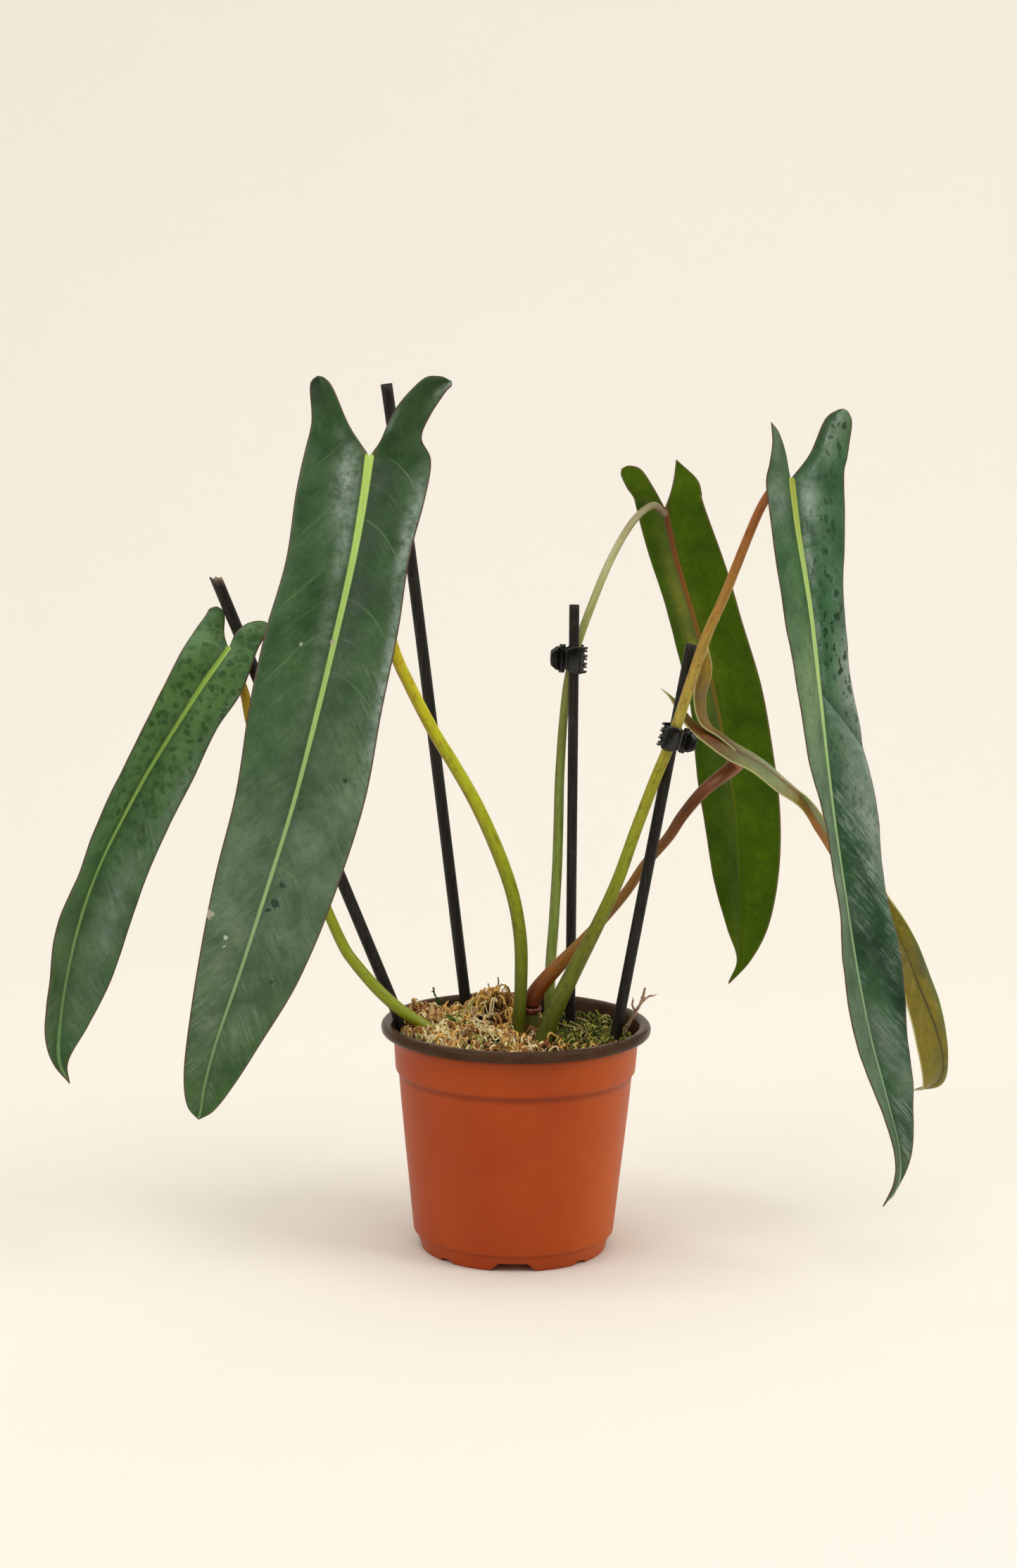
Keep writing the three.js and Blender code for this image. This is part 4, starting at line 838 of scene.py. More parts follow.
scar_finish, shader = new_finish("scar_ring_red_brown")
blots = mottled(object_place(shader), 0.0025, detail=4)
feed(shader, {"Base Color": mixed(spread(blots, 0.35, 0.65), (0.11, 0.012, 0.004), (0.23, 0.045, 0.016)),
              "Roughness": 0.22, "Coat Weight": 0.4})
roughen(shader, blots, 0.0002)

stem_line, _ = evenly(MAIN_STEM, STEM_STEPS)
stem_radii = level(MAIN_STEM_RADIUS, np.linspace(0, 1, STEM_STEPS))
stem_skin = skin_rings(round_rings(stem_line, stem_radii, STEM_SIDES))
turns = full_turn(STEM_SIDES)
scar_rings = []
for r, z in SCAR_PROFILE:
    wavy = r * (1 + 0.035 * np.sin(3 * turns + 0.6) + 0.02 * np.sin(7 * turns))
    uneven = z + 0.18 * np.sin(2 * turns + 1)
    scar_rings.append(np.stack([wavy * np.cos(turns), wavy * np.sin(turns), uneven], 1) + SCAR_RING)
points, faces, _ = gather([stem_skin, skin_rings(scar_rings)])
stem_faces = len(stem_skin[1])
stem_finishes = [stalk_finish("stem_green", 0.3, 0.3), scar_finish]
main_stem = solid_piece("main_stem_with_scar", points, faces, stem_finishes,
                        [0] * stem_faces + [1] * (len(faces) - stem_faces))
x, y, heights = np.array(points).T
write_colours(main_stem, "paint", level([(0.05, 0.07, 0.01), (0.075, 0.10, 0.014), (0.13, 0.155, 0.03)],
                                        np.clip((heights - 90) / 15, 0, 1)))
wrap_round(main_stem, heights, np.arctan2(y - SCAR_RING[1], x - SCAR_RING[0]))
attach(main_stem, "plant_and_pot")
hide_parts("main_stem")

# Leaf blades
# Five long arrow-shaped blades, leathery, 0.7 mm thick, with a raised pale midrib that is keeled
# underneath, side veins that leave it nearly square and bend down, and a thin red-brown margin.

BLADE_HALF = 0.36
ROWS_PER_POINT = 12
NEAR_RIB = (0, 0.55, 1.1, 1.7, 2.4)
OUTER_COLUMNS, OUTER_CROWDING = 17, 0.92
LOBE_START = 9.0
COMB_SLOPE = 1.45
NO_CREASE = -99.0
CREASE_DEPTH, CREASE_WIDTH = 0.7, 4.5
VEIN_DEPTH, VEIN_WIDTH = 0.16, 0.10
VEIN_SWEEP, VEIN_BEND, VEIN_STAGGER = 0.95, 1.7, 0.43
KEEL_HEIGHT, RIDGE_HEIGHT = 1.05, 0.28
EDGE_THICKNESS = 0.45
COARSE_SWELL, FINE_SWELL = 21, 8
RIM_OUT, RIM_ROUND, RIPPLE_REACH = 0.16, 0.7, 5.0


def half_blade(leaf, side):
    """One half of a blade as a grid of points from the rib to the margin, with what its skin needs."""
    lobe = leaf["right_lobe"] if side > 0 else leaf["left_lobe"]
    margin = leaf["right"] if side > 0 else leaf["left"]
    rib_steps, lobe_steps = len(leaf["rib"]) - 1, len(lobe["pairs"]) + 1
    steps = lobe_steps + rib_steps
    sinus_edge = [lobe["tip"]] + [pair[0] for pair in lobe["pairs"]] + [leaf["rib"][0]]
    outer_line = [lobe["tip"]] + [pair[1] for pair in lobe["pairs"]] + margin + [leaf["rib"][-1]]
    t = np.arange(steps * ROWS_PER_POINT + 1) / ROWS_PER_POINT
    outer = spline(outer_line, t / steps)
    on_rib = (t >= lobe_steps)[:, None]
    inner = np.where(on_rib, spline(leaf["rib"], (t - lobe_steps) / rib_steps),
                     spline(sinus_edge, t / lobe_steps))
    across = outer - inner
    width = np.linalg.norm(across, axis=1)
    running = np.empty_like(outer)
    running[1:-1] = outer[2:] - outer[:-2]
    running[0], running[-1] = outer[1] - outer[0], outer[-1] - outer[-2]
    normal = unit(np.cross(running, across) * side)
    run = run_along(inner)
    down = run - run[lobe_steps * ROWS_PER_POINT]
    reach = []
    for w in width:
        near = np.minimum(NEAR_RIB, np.linspace(0, 0.25 * w, len(NEAR_RIB)))
        rest = near[-1] + (w - near[-1]) * np.linspace(0, 1, OUTER_COLUMNS + 1)[1:] ** OUTER_CROWDING
        reach.append(np.concatenate([near, rest]))
    reach, width, down_rib = np.array(reach), width[:, None], down[:, None]
    u = reach / np.maximum(width, 1e-9)
    u[:, -1] = 1
    points = (inner[:, None] + across[:, None] * u[..., None]
              + normal[:, None] * (leaf["arch"] * width * 4 * u * (1 - u))[..., None])
    creased_side, start, slope = leaf.get("crease", (0, 0, 0))
    whole = np.ones_like(u)
    return {
        "points": points, "u": u, "length": down[-1], "side": side, "reach": reach,
        "down": down_rib * whole, "width": width * whole,
        "from_rib": np.where(on_rib, reach, np.linalg.norm(points - leaf["rib"][0], axis=2)),
        "from_margin": np.where(on_rib, width - reach, np.minimum(reach, width - reach)),
        "lobe": np.clip(-down_rib / LOBE_START, 0, 1) * whole,
        "comb": down_rib - COMB_SLOPE * reach,
        "crease": down_rib - start - slope * reach if side == creased_side else NO_CREASE * whole,
    }


def soft_spot(half, patch):
    """How strongly a patch covers each point: (side, down, across, down spread, across spread, slant)."""
    side, down, across, down_spread, across_spread, slant = patch
    if side not in (0, half["side"]):
        return np.zeros_like(half["u"])
    place = half["down"] / half["length"] - slant * (half["u"] - across)
    return np.exp(-((place - down) / down_spread) ** 2 - ((half["u"] - across) / across_spread) ** 2)


def paint_half(half, skin):
    """Adds vein places, and the colours and masks of both faces, to one half of a blade."""
    curve = half["down"] - VEIN_SWEEP * half["width"] * half["u"] ** VEIN_BEND
    offset = VEIN_STAGGER if half["side"] < 0 else 0.0
    half["phase"] = curve / skin["vein_spacing"] + offset + 0.10 * np.sin(half["down"] / 23 + half["side"])
    for face in ("upper", "under"):
        looks = skin[face]
        tone = np.asarray(looks["ground"], float) * np.ones_like(half["u"])[..., None]
        for *patch, colour, strength in looks.get("patches", ()):
            share = (soft_spot(half, patch) * strength)[..., None]
            tone = tone * (1 - share) + np.asarray(colour) * share
        half[face, "paint"] = tone
        half[face, "rib_paint"] = level(looks["rib"], np.clip(half["down"] / half["length"], 0, 1))
        for mask in ("speckle", "streak", "sheen"):
            spots = [soft_spot(half, patch) * strength for *patch, strength in looks.get(mask, ())]
            half[face, mask] = np.max([np.zeros_like(half["u"])] + spots, axis=0)


def blade_piece(name, leaf, skin, finishes):
    """A whole blade: both halves joined along the rib, thickened, with keel, raised rib and round edge."""
    halves = [half_blade(leaf, side) for side in (-1, 1)]
    index, owner, faces, start = {}, [], [], 0
    for half in halves:
        paint_half(half, skin)
        rows, columns = half["u"].shape
        ids = np.empty((rows, columns), int)
        for j, k in np.ndindex(rows, columns):
            key = tuple(np.round(half["points"][j, k], 3))
            if key not in index:
                index[key] = len(owner)
                owner.append(start + j * columns + k)
            ids[j, k] = index[key]
        for j, k in np.ndindex(rows - 1, columns - 1):
            ring = [ids[j, k], ids[j + 1, k], ids[j + 1, k + 1], ids[j, k + 1]]
            ring = [v for i, v in enumerate(ring) if v not in ring[:i]]
            if len(ring) > 2:
                faces.append(ring if half["side"] > 0 else ring[::-1])
        start += rows * columns

    def pick(key):
        """One value, place or colour for each point, from the grids of both halves."""
        grids = [half[key].reshape(half["u"].size, -1) for half in halves]
        return np.concatenate(grids)[owner].squeeze()

    middle = pick("points")
    count = len(middle)
    normals = np.zeros_like(middle)
    for face in faces:
        p = middle[face]
        normals[face] += np.cross(p[1] - p[0], p[-1] - p[0])
    normals = unit(normals)
    from_rib, down, rim, phase = (pick(key) for key in ("from_rib", "down", "from_margin", "phase"))
    lobe = pick("lobe")
    share = np.clip(down / halves[0]["length"], 0, 1)
    rib_half = level(leaf["rib_half"], share)
    rib_wide = level(skin["rib_width"], share)
    on_rib = np.exp(-(from_rib / np.maximum(rib_wide, 0.4)) ** 2 / 1.4) * (1 - lobe)
    ripple = skin["ripple"] * np.exp(-(rim / RIPPLE_REACH) ** 2) * np.sin(down / skin["ripple_length"])
    quilt = VEIN_DEPTH * np.exp(-((phase - np.round(phase)) / VEIN_WIDTH) ** 2)
    quilt *= np.clip(from_rib / 5, 0, 1) * np.clip(rim / 5, 0, 1)
    lumpy = [noise.noise(Vector(p) / COARSE_SWELL) + 0.35 * noise.noise(Vector(p) / FINE_SWELL)
             for p in middle]
    swell = skin["swell"] * np.array(lumpy) * np.clip(from_rib / 9, 0, 1)
    fold = CREASE_DEPTH * np.exp(-(pick("crease") / CREASE_WIDTH) ** 2) * np.clip(from_rib / 6, 0, 1)
    shift = normals * ((ripple - quilt) * (1 - lobe) + swell - fold)[:, None]
    keel_side = skin.get("keel", -1)
    raised = {keel_side: (rib_half * KEEL_HEIGHT - BLADE_HALF) * on_rib,
              -keel_side: RIDGE_HEIGHT * rib_half * on_rib}
    thick = BLADE_HALF * (EDGE_THICKNESS + (1 - EDGE_THICKNESS) * np.clip(rim / RIM_ROUND, 0, 1) ** 0.5)
    upper = middle + shift + normals * (thick + raised[1])[:, None]
    lower = middle + shift - normals * (thick + raised[-1])[:, None]

    edges = dict.fromkeys((a, b) for face in faces for a, b in zip(face, face[1:] + face[:1]))
    border = [(a, b) for a, b in edges if (b, a) not in edges]
    rim_ids = sorted({v for edge in border for v in edge})
    rim_at = {v: 2 * count + i for i, v in enumerate(rim_ids)}
    outward = np.zeros_like(middle)
    for a, b in border:
        out = np.cross(middle[b] - middle[a], normals[a])
        outward[a] += out
        outward[b] += out
    rim_points = (middle + shift + unit(outward) * RIM_OUT)[rim_ids]
    skin_faces = [list(f) for f in faces] + [[v + count for v in f[::-1]] for f in faces]
    finish_of = [0] * len(faces) + [1] * len(faces)
    for a, b in border:
        skin_faces += [[b, a, rim_at[a], rim_at[b]], [rim_at[b], rim_at[a], a + count, b + count]]
        finish_of += [0, 1]
    piece = shape_piece(name, np.vstack([upper, lower, rim_points]), skin_faces, finishes, finish_of)
    for key in ("phase", "comb", "reach", "crease", "from_rib", "from_margin", "lobe"):
        values = pick(key)
        write_values(piece, key, np.concatenate([values, values, values[rim_ids]]))
    rib_band = rib_wide * np.where(lobe > 0, 0.9, 1)
    write_values(piece, "rib_wide", np.concatenate([rib_band, rib_band, rib_band[rim_ids]]))
    for key in ("paint", "rib_paint", "speckle", "streak", "sheen"):
        above, below = pick(("upper", key)), pick(("under", key))
        write = write_colours if above.ndim > 1 else write_values
        write(piece, key, np.concatenate([above, below, above[rim_ids]]))
    return piece


LEAF_LOOKS = {
    "Veins": 0.35, "Vein Colour": (0.08, 0.16, 0.05), "Margin Colour": (0.09, 0.03, 0.02),
    "Streak Colour": (0.20, 0.26, 0.21), "Fleck Colour": (0.006, 0.03, 0.008), "Fleck Size": 0.0035,
    "Fleck Spread": 0.42, "Fleck Squeeze": 1.0, "Net": 0.0, "Sheen Colour": (0.17, 0.22, 0.18), "Blots": 0.25,
}


# Leathery leaf skin: side veins, midrib band, mottling, diagonal streaks, dark flecks, margin line, painted
# highlights and reflections, and painted shade beside the rib and along a crease
leaf_skin, given, result = new_effect("leaf_skin", LEAF_LOOKS)
place = object_place(result)
phase, from_rib, from_margin, rib_wide, lobe, crease, streaked, speckled, sheen, comb, reach = (
    read_value(result, name) for name in ("phase", "from_rib", "from_margin", "rib_wide", "lobe", "crease",
                                          "streak", "speckle", "sheen", "comb", "reach"))
blots = mottled(place, 0.016, detail=5)
fine = mottled(place, 0.0030, detail=6, roughness=0.7)
crackle = spread(mottled(place, 0.0045, detail=6, roughness=0.70), 0.38, 0.58, 0.22, 1.0)
tone = read_colour(result, "paint")
lighter, darker = tinted(tone, (1.45, 1.30, 1.35)), tinted(tone, (0.50, 0.60, 0.52))
tone = mixed(times(spread(blots, 0.48, 0.66), given["Blots"]), tone, lighter)
tone = mixed(times(spread(blots, 0.50, 0.34), given["Blots"]), tone, darker)
tone = mixed(spread(fine, 0.40, 0.66, 0.0, 0.55), tone, darker)
combed = put(result, "CombineXYZ", {0: times(comb, 0.44), 1: times(reach, 0.11)}).outputs[0]
combing = mottled(combed, 1.0, 8, 0.78)
gaps = spread(mottled(place, 0.010, detail=4), 0.40, 0.60)
tone = mixed(times(spread(combing, 0.47, 0.66), streaked, gaps), tone, given["Streak Colour"])
tone = mixed(times(spread(combing, 0.48, 0.34), streaked, 0.55), tone, darker)
# Painted highlights and reflections: paler paint where the painted highlight masks lie, broken up by crackle
tone = mixed(times(sheen, crackle), tone, given["Sheen Colour"])
jitter = move("SUBTRACT", mottled(place, 1 / 260, 2, 0.5, "Color"), (0.5, 0.5, 0.5))
fleck_place = move("ADD", place, move("MULTIPLY", jitter, (0.005, 0.005, 0.005)))
squeeze = put(result, "CombineXYZ", {0: 1.0, 1: 1.0, 2: given["Fleck Squeeze"]}).outputs[0]
cells = put(result, "TexVoronoi", {"Vector": move("MULTIPLY", fleck_place, squeeze),
                                   "Scale": reckon("DIVIDE", 1.0, given["Fleck Size"])}).outputs
chance = put(result, "SeparateColor", {0: cells["Color"]}).outputs[0]
fleck_edge = reckon("SUBTRACT", given["Fleck Spread"], times(chance, 0.35))
fleck = times(spread(reckon("SUBTRACT", fleck_edge, cells["Distance"]), 0.0, 0.12, smooth=True), speckled)
net = times(spread(cells["Distance"], 0.38, 0.66, smooth=True), speckled, given["Net"])
tone = mixed(net, tone, tinted(lighter, (1.5, 1.35, 1.4)))
tone = mixed(fleck, tone, given["Fleck Colour"])
# Painted light along the crease: painted shade above the fold and along its line, and paler paint below it as
# a painted highlight
above = times(spread(crease, -9.0, 0.0, 0.0, 0.60), spread(crease, 0.0, 0.3, 1.0, 0.0))
below = times(spread(crease, 0.0, 20.0, 0.28, 0.0), spread(crease, -0.3, 0.0), crackle)
painted_crease_shade = spread(reckon("ABSOLUTE", crease), 0.1, 0.8, 0.8, 0.0, smooth=True)
tone = mixed(below, mixed(above, tone, darker), given["Streak Colour"])
tone = mixed(painted_crease_shade, tone, tinted(darker, (0.5, 0.55, 0.5)))
wander = times(reckon("SUBTRACT", mottled(place, 0.03, detail=2), 0.5), 0.22)
vein_place = reckon("ADD", phase, wander)
main_vein, minor_vein = (
    spread(reckon("PINGPONG", reckon("ADD", vein_place, offset), 0.5), 0.0, width, strength, 0.0, smooth=True)
    for offset, width, strength in ((40.0, 0.030, 1.0), (40.5, 0.022, 0.40)))
off_lobe = reckon("SUBTRACT", 1.0, lobe)
clear = times(spread(from_margin, 1.0, 7.0), off_lobe)
uneven = spread(mottled(place, 0.035, detail=3), 0.38, 0.66)
vein = times(reckon("MAXIMUM", main_vein, minor_vein), clear, uneven)
tone = mixed(times(vein, given["Veins"]), tone, given["Vein Colour"])
# Painted shade: a darker band painted along both sides of the raised rib
off_band = reckon("SUBTRACT", from_rib, rib_wide)
tone = mixed(times(spread(off_band, 0.0, 2.2, 0.42, 0.0, smooth=True), off_lobe), tone, darker)
rib_paint = read_colour(result, "rib_paint")
rib_tone = mixed(spread(fine, 0.4, 0.7, 0, 0.25), rib_paint, tinted(rib_paint, (0.7, 0.75, 0.6)))
tone = mixed(spread(off_band, -0.35, 0.25, 1.0, 0.0, smooth=True), tone, rib_tone)
tone = mixed(spread(from_margin, 0.15, 0.75, 0.85, 0.0, smooth=True), tone, given["Margin Colour"])
relief = reckon("ADD", reckon("ADD", times(fine, 0.35), times(vein, -0.5)), times(combing, 0.5))
feed(result, {"Colour": tone, "Roughness": spread(blots, 0.3, 0.7, 0.27, 0.46), "Height": relief})


def with_marks(tone, marks):
    """Specks, scars and nicks at their own places on a leaf: (x, z, size in mm, colour)."""
    place = object_place(tone)
    front_on = move("MULTIPLY", place, (1, 0, 1))
    ragged = times(mottled(place, 0.0013, detail=3), 0.0032)
    for x, z, size, colour in marks:
        away = put(tone, "VectorMath", {0: front_on, 1: (x * MM, 0, z * MM)}, operation="DISTANCE")
        edge = reckon("ADD", away.outputs["Value"], ragged)
        tone = mixed(spread(edge, size * MM + 0.0012, size * MM + 0.0017, 0.85, 0.0), tone, colour)
    return tone


def leaf_finish(name, marks=(), relief=0.0003, gloss=0.46, **looks):
    """A leaf's material: the leaf skin with its own looks."""
    material, shader = new_finish(name)
    looks = {**LEAF_LOOKS, **{look.replace("_", " "): value for look, value in looks.items()}}
    skin = put(shader, "Group", node_tree=leaf_skin)
    feed(skin, looks)
    tone = skin.outputs["Colour"]
    feed(shader, {"Base Color": with_marks(tone, marks) if marks else tone,
                  "Roughness": skin.outputs["Roughness"], "Specular IOR Level": gloss})
    roughen(shader, skin.outputs["Height"], relief)
    return material


UNDER_GREEN = {"ground": (0.055, 0.082, 0.018), "rib": [(0.22, 0.26, 0.06), (0.12, 0.16, 0.04)]}

# Patches of a skin: side (-1 left, 1 right, 0 both), place down the rib, place across, spread down,
# spread across, slant, then the colour and strength, or the strength alone.
# The lists of painted highlights give where highlights and reflections are painted into the colour.
SKINS = {
    "blade_front": {
        "upper": {
            "ground": (0.026, 0.082, 0.017),
            "patches": [
                (0, 0.95, 0.5, 0.36, 0.9, 0, (0.125, 0.19, 0.11), 0.85),
                (-1, 0.35, 0.9, 0.35, 0.5, 0, (0.04, 0.104, 0.032), 0.6),
                (1, 0.15, 0.22, 0.2, 0.3, 0, (0.003, 0.038, 0.001), 0.9),
                (1, 0.45, 0.6, 0.16, 0.4, 0.2, (0.08, 0.15, 0.072), 0.6),
                (1, 0.62, 0.2, 0.07, 0.35, 0.15, (0.026, 0.085, 0.018), 0.7),
                (0, 0.64, 0.5, 0.16, 0.9, 0, (0.15, 0.22, 0.15), 0.45),
                (0, 1.02, 0.5, 0.17, 0.9, 0, (0.016, 0.072, 0.003), 0.93),
                (1, 0.92, 0.9, 0.1, 0.3, 0, (0.028, 0.11, 0.01), 0.7),
                # Painted shade: both lobes are painted darker, the left one most
                (0, -0.2, 0.5, 0.13, 0.9, 0, (0.015, 0.043, 0.004), 0.92),
                (-1, -0.13, 0.6, 0.05, 0.4, 0, (0.008, 0.028, 0.006), 0.75),
                (0, 0, 0, 0.01, 0.08, 0, (0.22, 0.1, 0.02), 0.8),
            ],
            "rib": [(0.46, 0.66, 0.13), (0.4, 0.6, 0.14), (0.37, 0.56, 0.15), (0.34, 0.52, 0.18),
                    (0.31, 0.46, 0.2), (0.25, 0.38, 0.18), (0.13, 0.24, 0.08)],
            "speckle": [(0, 0.5, 0.1, 0.5, 0.06, 0, 0.3)],
            "streak": [(0, 0.95, 0.5, 0.45, 0.9, 0, 0.55), (1, 0.4, 0.85, 0.2, 0.3, 0, 0.6),
                       (0, 0.3, 0.5, 0.3, 0.9, 0, 0.2)],
            "sheen": [(-1, 0.045, 0.3, 0.06, 0.17, 0, 1), (-1, 0.12, 0.19, 0.09, 0.12, 0, 0.6),
                      (-1, 0.25, 0.16, 0.16, 0.13, 0, 0.3), (1, 0.34, 0.96, 0.16, 0.09, 0, 0.85),
                      (1, 0.12, 0.9, 0.08, 0.13, 0, 0.95), (1, -0.19, 0.86, 0.065, 0.16, 0, 1),
                      (1, -0.06, 0.1, 0.02, 0.06, 0, 0.4), (-1, -0.17, 0.35, 0.04, 0.08, 0, 0.55),
                      (-1, -0.3, 0.5, 0.03, 0.3, 0, 0.35)],
        },
        "under": UNDER_GREEN,
        "rib_width": [2.15, 1.75, 1.45, 1.22, 1.05, 0.88, 0.65], "vein_spacing": 30, "swell": 0.9,
        "ripple": 0.5, "ripple_length": 11,
    },
    "blade_left": {
        "upper": {
            "ground": (0.07, 0.172, 0.062),
            "patches": [
                (0, 0.12, 0.5, 0.22, 0.9, 0, (0.058, 0.155, 0.03), 0.8),
                (-1, 0.74, 0.5, 0.2, 0.8, 0, (0.092, 0.172, 0.074), 0.85),
                (1, 0.76, 0.4, 0.2, 0.7, 0, (0.07, 0.138, 0.056), 0.8),
                (1, 0.62, 0.55, 0.1, 0.35, 0.1, (0.1, 0.17, 0.1), 0.6),
                (1, 0.42, 0.35, 0.08, 0.3, 0.1, (0.014, 0.06, 0.01), 0.6),
                (0, 0.45, 0.12, 0.2, 0.12, 0, (0.024, 0.09, 0.01), 0.6),
                (1, -0.1, 0.5, 0.06, 0.5, 0, (0.075, 0.145, 0.035), 0.6),
                (-1, -0.05, 0.3, 0.05, 0.3, 0, (0.09, 0.18, 0.04), 0.5),
                (0, 1.02, 0.5, 0.17, 0.9, 0, (0.014, 0.068, 0.002), 0.93),
            ],
            "rib": [(0.38, 0.6, 0.08), (0.34, 0.56, 0.11), (0.31, 0.51, 0.14), (0.24, 0.41, 0.15),
                    (0.12, 0.24, 0.08)],
            "speckle": [(0, 0.12, 0.5, 0.26, 0.8, 0, 1), (0, 0.36, 0.3, 0.14, 0.6, 0, 0.8)],
            "streak": [(1, 0.52, 0.7, 0.28, 0.45, 0, 1), (0, 0.9, 0.5, 0.25, 0.8, 0, 0.6)],
            "sheen": [(1, 0.33, 0.88, 0.16, 0.12, 0, 0.6), (1, 0.62, 0.6, 0.13, 0.14, 0, 0.5),
                      (1, 0.15, 0.92, 0.1, 0.1, 0, 0.45), (-1, 0, 0.15, 0.03, 0.1, 0, 0.5)],
        },
        "under": UNDER_GREEN,
        "rib_width": [1.5, 1.35, 1.25, 1.15, 0.95], "vein_spacing": 26, "swell": 0.9,
        "ripple": 0.5, "ripple_length": 8,
    },
    "blade_right": {
        "upper": {
            "ground": (0.022, 0.088, 0.03),
            "patches": [
                # Painted reflection: the pale grey-green over most of the left half
                (-1, 0.62, 0.5, 0.45, 0.9, 0, (0.13, 0.205, 0.125), 0.88),
                (-1, 0.1, 0.5, 0.17, 0.9, 0, (0.03, 0.105, 0.024), 0.9),
                (-1, 0.28, 0.5, 0.1, 0.9, 0, (0.145, 0.25, 0.105), 0.7),
                (1, 0.24, 0.5, 0.17, 0.5, 0, (0.02, 0.105, 0.03), 0.8),
                (1, 0.06, 0.6, 0.08, 0.5, 0, (0.07, 0.155, 0.08), 0.6),
                # Painted highlight: the pale band along the right margin
                (1, 0.29, 0.88, 0.09, 0.34, 0, (0.2, 0.26, 0.205), 0.85),
                (1, 0.46, 0.8, 0.09, 0.6, 0.13, (0.12, 0.175, 0.12), 0.85),
                (1, 0.57, 0.6, 0.035, 0.6, 0.2, (0.012, 0.052, 0.016), 0.8),
                (1, 0.615, 0.3, 0.025, 0.4, 0.15, (0.12, 0.175, 0.12), 0.5),
                (1, 0.68, 0.75, 0.05, 0.7, 0.12, (0.003, 0.026, 0.008), 0.92),
                (1, 0.78, 0.5, 0.05, 0.8, 0.1, (0.125, 0.175, 0.125), 0.75),
                (1, 0.91, 0.55, 0.06, 0.8, 0.1, (0.045, 0.1, 0.05), 0.7),
                # Painted light on the folded right lobe: painted shade inside the fold by the sinus edge,
                # paler paint beyond it where it catches the light
                (1, -0.12, 0.75, 0.08, 0.3, 0, (0.095, 0.18, 0.085), 0.8),
                (1, -0.12, 0.45, 0.09, 0.22, 0, (0.13, 0.21, 0.13), 0.75),
                (1, -0.11, 0.08, 0.11, 0.16, 0, (0.03, 0.07, 0.022), 0.85),
                (-1, -0.06, 0.5, 0.1, 0.5, 0, (0.115, 0.16, 0.095), 0.6),
                (0, 0.96, 0.5, 0.1, 0.9, 0, (0.07, 0.112, 0.055), 0.6),
            ],
            "rib": [(0.38, 0.44, 0.06), (0.46, 0.65, 0.2), (0.42, 0.6, 0.23), (0.38, 0.55, 0.25),
                    (0.35, 0.5, 0.26),
                    (0.32, 0.46, 0.26), (0.29, 0.41, 0.25), (0.23, 0.33, 0.19)],
            "speckle": [(1, 0.22, 0.6, 0.22, 0.6, 0, 1), (1, -0.1, 0.6, 0.1, 0.5, 0, 0.8),
                        (-1, 0.2, 0.3, 0.2, 0.5, 0, 0.3)],
            "streak": [(1, 0.52, 0.6, 0.16, 1.2, 0.1, 1), (1, 0.88, 0.5, 0.09, 1.2, 0, 0.85),
                       (1, 0.7, 0.5, 0.12, 1.2, 0, 0.5),
                       (-1, 0.6, 0.5, 0.5, 0.9, 0, 0.3), (1, 0.25, 0.8, 0.2, 0.4, 0, 0.35)],
            "sheen": [(1, 0.03, 0.3, 0.035, 0.2, 0, 0.9), (1, 0.1, 0.17, 0.05, 0.1, 0, 0.95),
                      (1, 0.2, 0.13, 0.07, 0.09, 0, 0.65), (1, -0.11, 0.3, 0.1, 0.045, 0, 0.95),
                      (1, -0.09, 0.45, 0.05, 0.15, 0, 0.6),
                      (1, 0.36, 0.97, 0.14, 0.08, 0, 0.7), (1, 0.47, 0.85, 0.05, 0.22, 0.13, 0.6),
                      (-1, 0.02, 0.6, 0.04, 0.3, 0, 0.35)],
        },
        "under": UNDER_GREEN,
        "rib_width": [1.9, 1.65, 1.35, 1.15, 0.95, 0.8, 0.6], "vein_spacing": 28, "swell": 1,
        "ripple": 0.5, "ripple_length": 10,
    },
    "blade_back": {
        "upper": {
            "ground": (0.05, 0.105, 0.001),
            "patches": [
                (-1, 0.25, 0.35, 0.18, 0.28, 0, (0.21, 0.235, 0.028), 0.85),
                (1, 0.3, 0.1, 0.25, 0.12, 0, (0.11, 0.15, 0.01), 0.5),
                (0, -0.08, 0.5, 0.08, 0.8, 0, (0.08, 0.145, 0.003), 0.6),
                (0, 0.85, 0.5, 0.3, 0.9, 0, (0.062, 0.122, 0.001), 0.7),
                (0, 0, 0, 0.012, 0.1, 0, (0.025, 0.012, 0.008), 0.8),
            ],
            "rib": [(0.16, 0.05, 0.02), (0.24, 0.1, 0.022), (0.19, 0.12, 0.02), (0.14, 0.14, 0.012),
                    (0.095, 0.15, 0.006), (0.08, 0.14, 0.004), (0.07, 0.12, 0.003)],
            "streak": [(0, 0.5, 0.5, 0.7, 0.9, 0, 0.35)],
        },
        "under": {"ground": (0.028, 0.07, 0.02), "rib": [(0.25, 0.36, 0.08), (0.12, 0.2, 0.05)]},
        "rib_width": [1.3, 1, 0.75, 0.5, 0.35, 0.3], "vein_spacing": 24, "swell": 0.6,
        "ripple": 0.5, "ripple_length": 9, "keel": 1,
    },
    "blade_young": {
        "upper": {
            "ground": (0.168, 0.133, 0.001),
            "patches": [
                (1, -0.2, 0.5, 0.15, 1.2, 0, (0.28, 0.175, 0.005), 0.95),
                (1, -0.2, 0.25, 0.09, 0.13, 0, (0.15, 0.055, 0.004), 0.8),
                (1, -0.32, 0.5, 0.06, 1.2, 0, (0.3, 0.24, 0.03), 0.8),
                (1, -0.13, 0.7, 0.05, 0.5, 0, (0.16, 0.07, 0.006), 0.7),
                (1, -0.035, 0.15, 0.06, 0.45, 0, (0.11, 0.018, 0.004), 0.97),
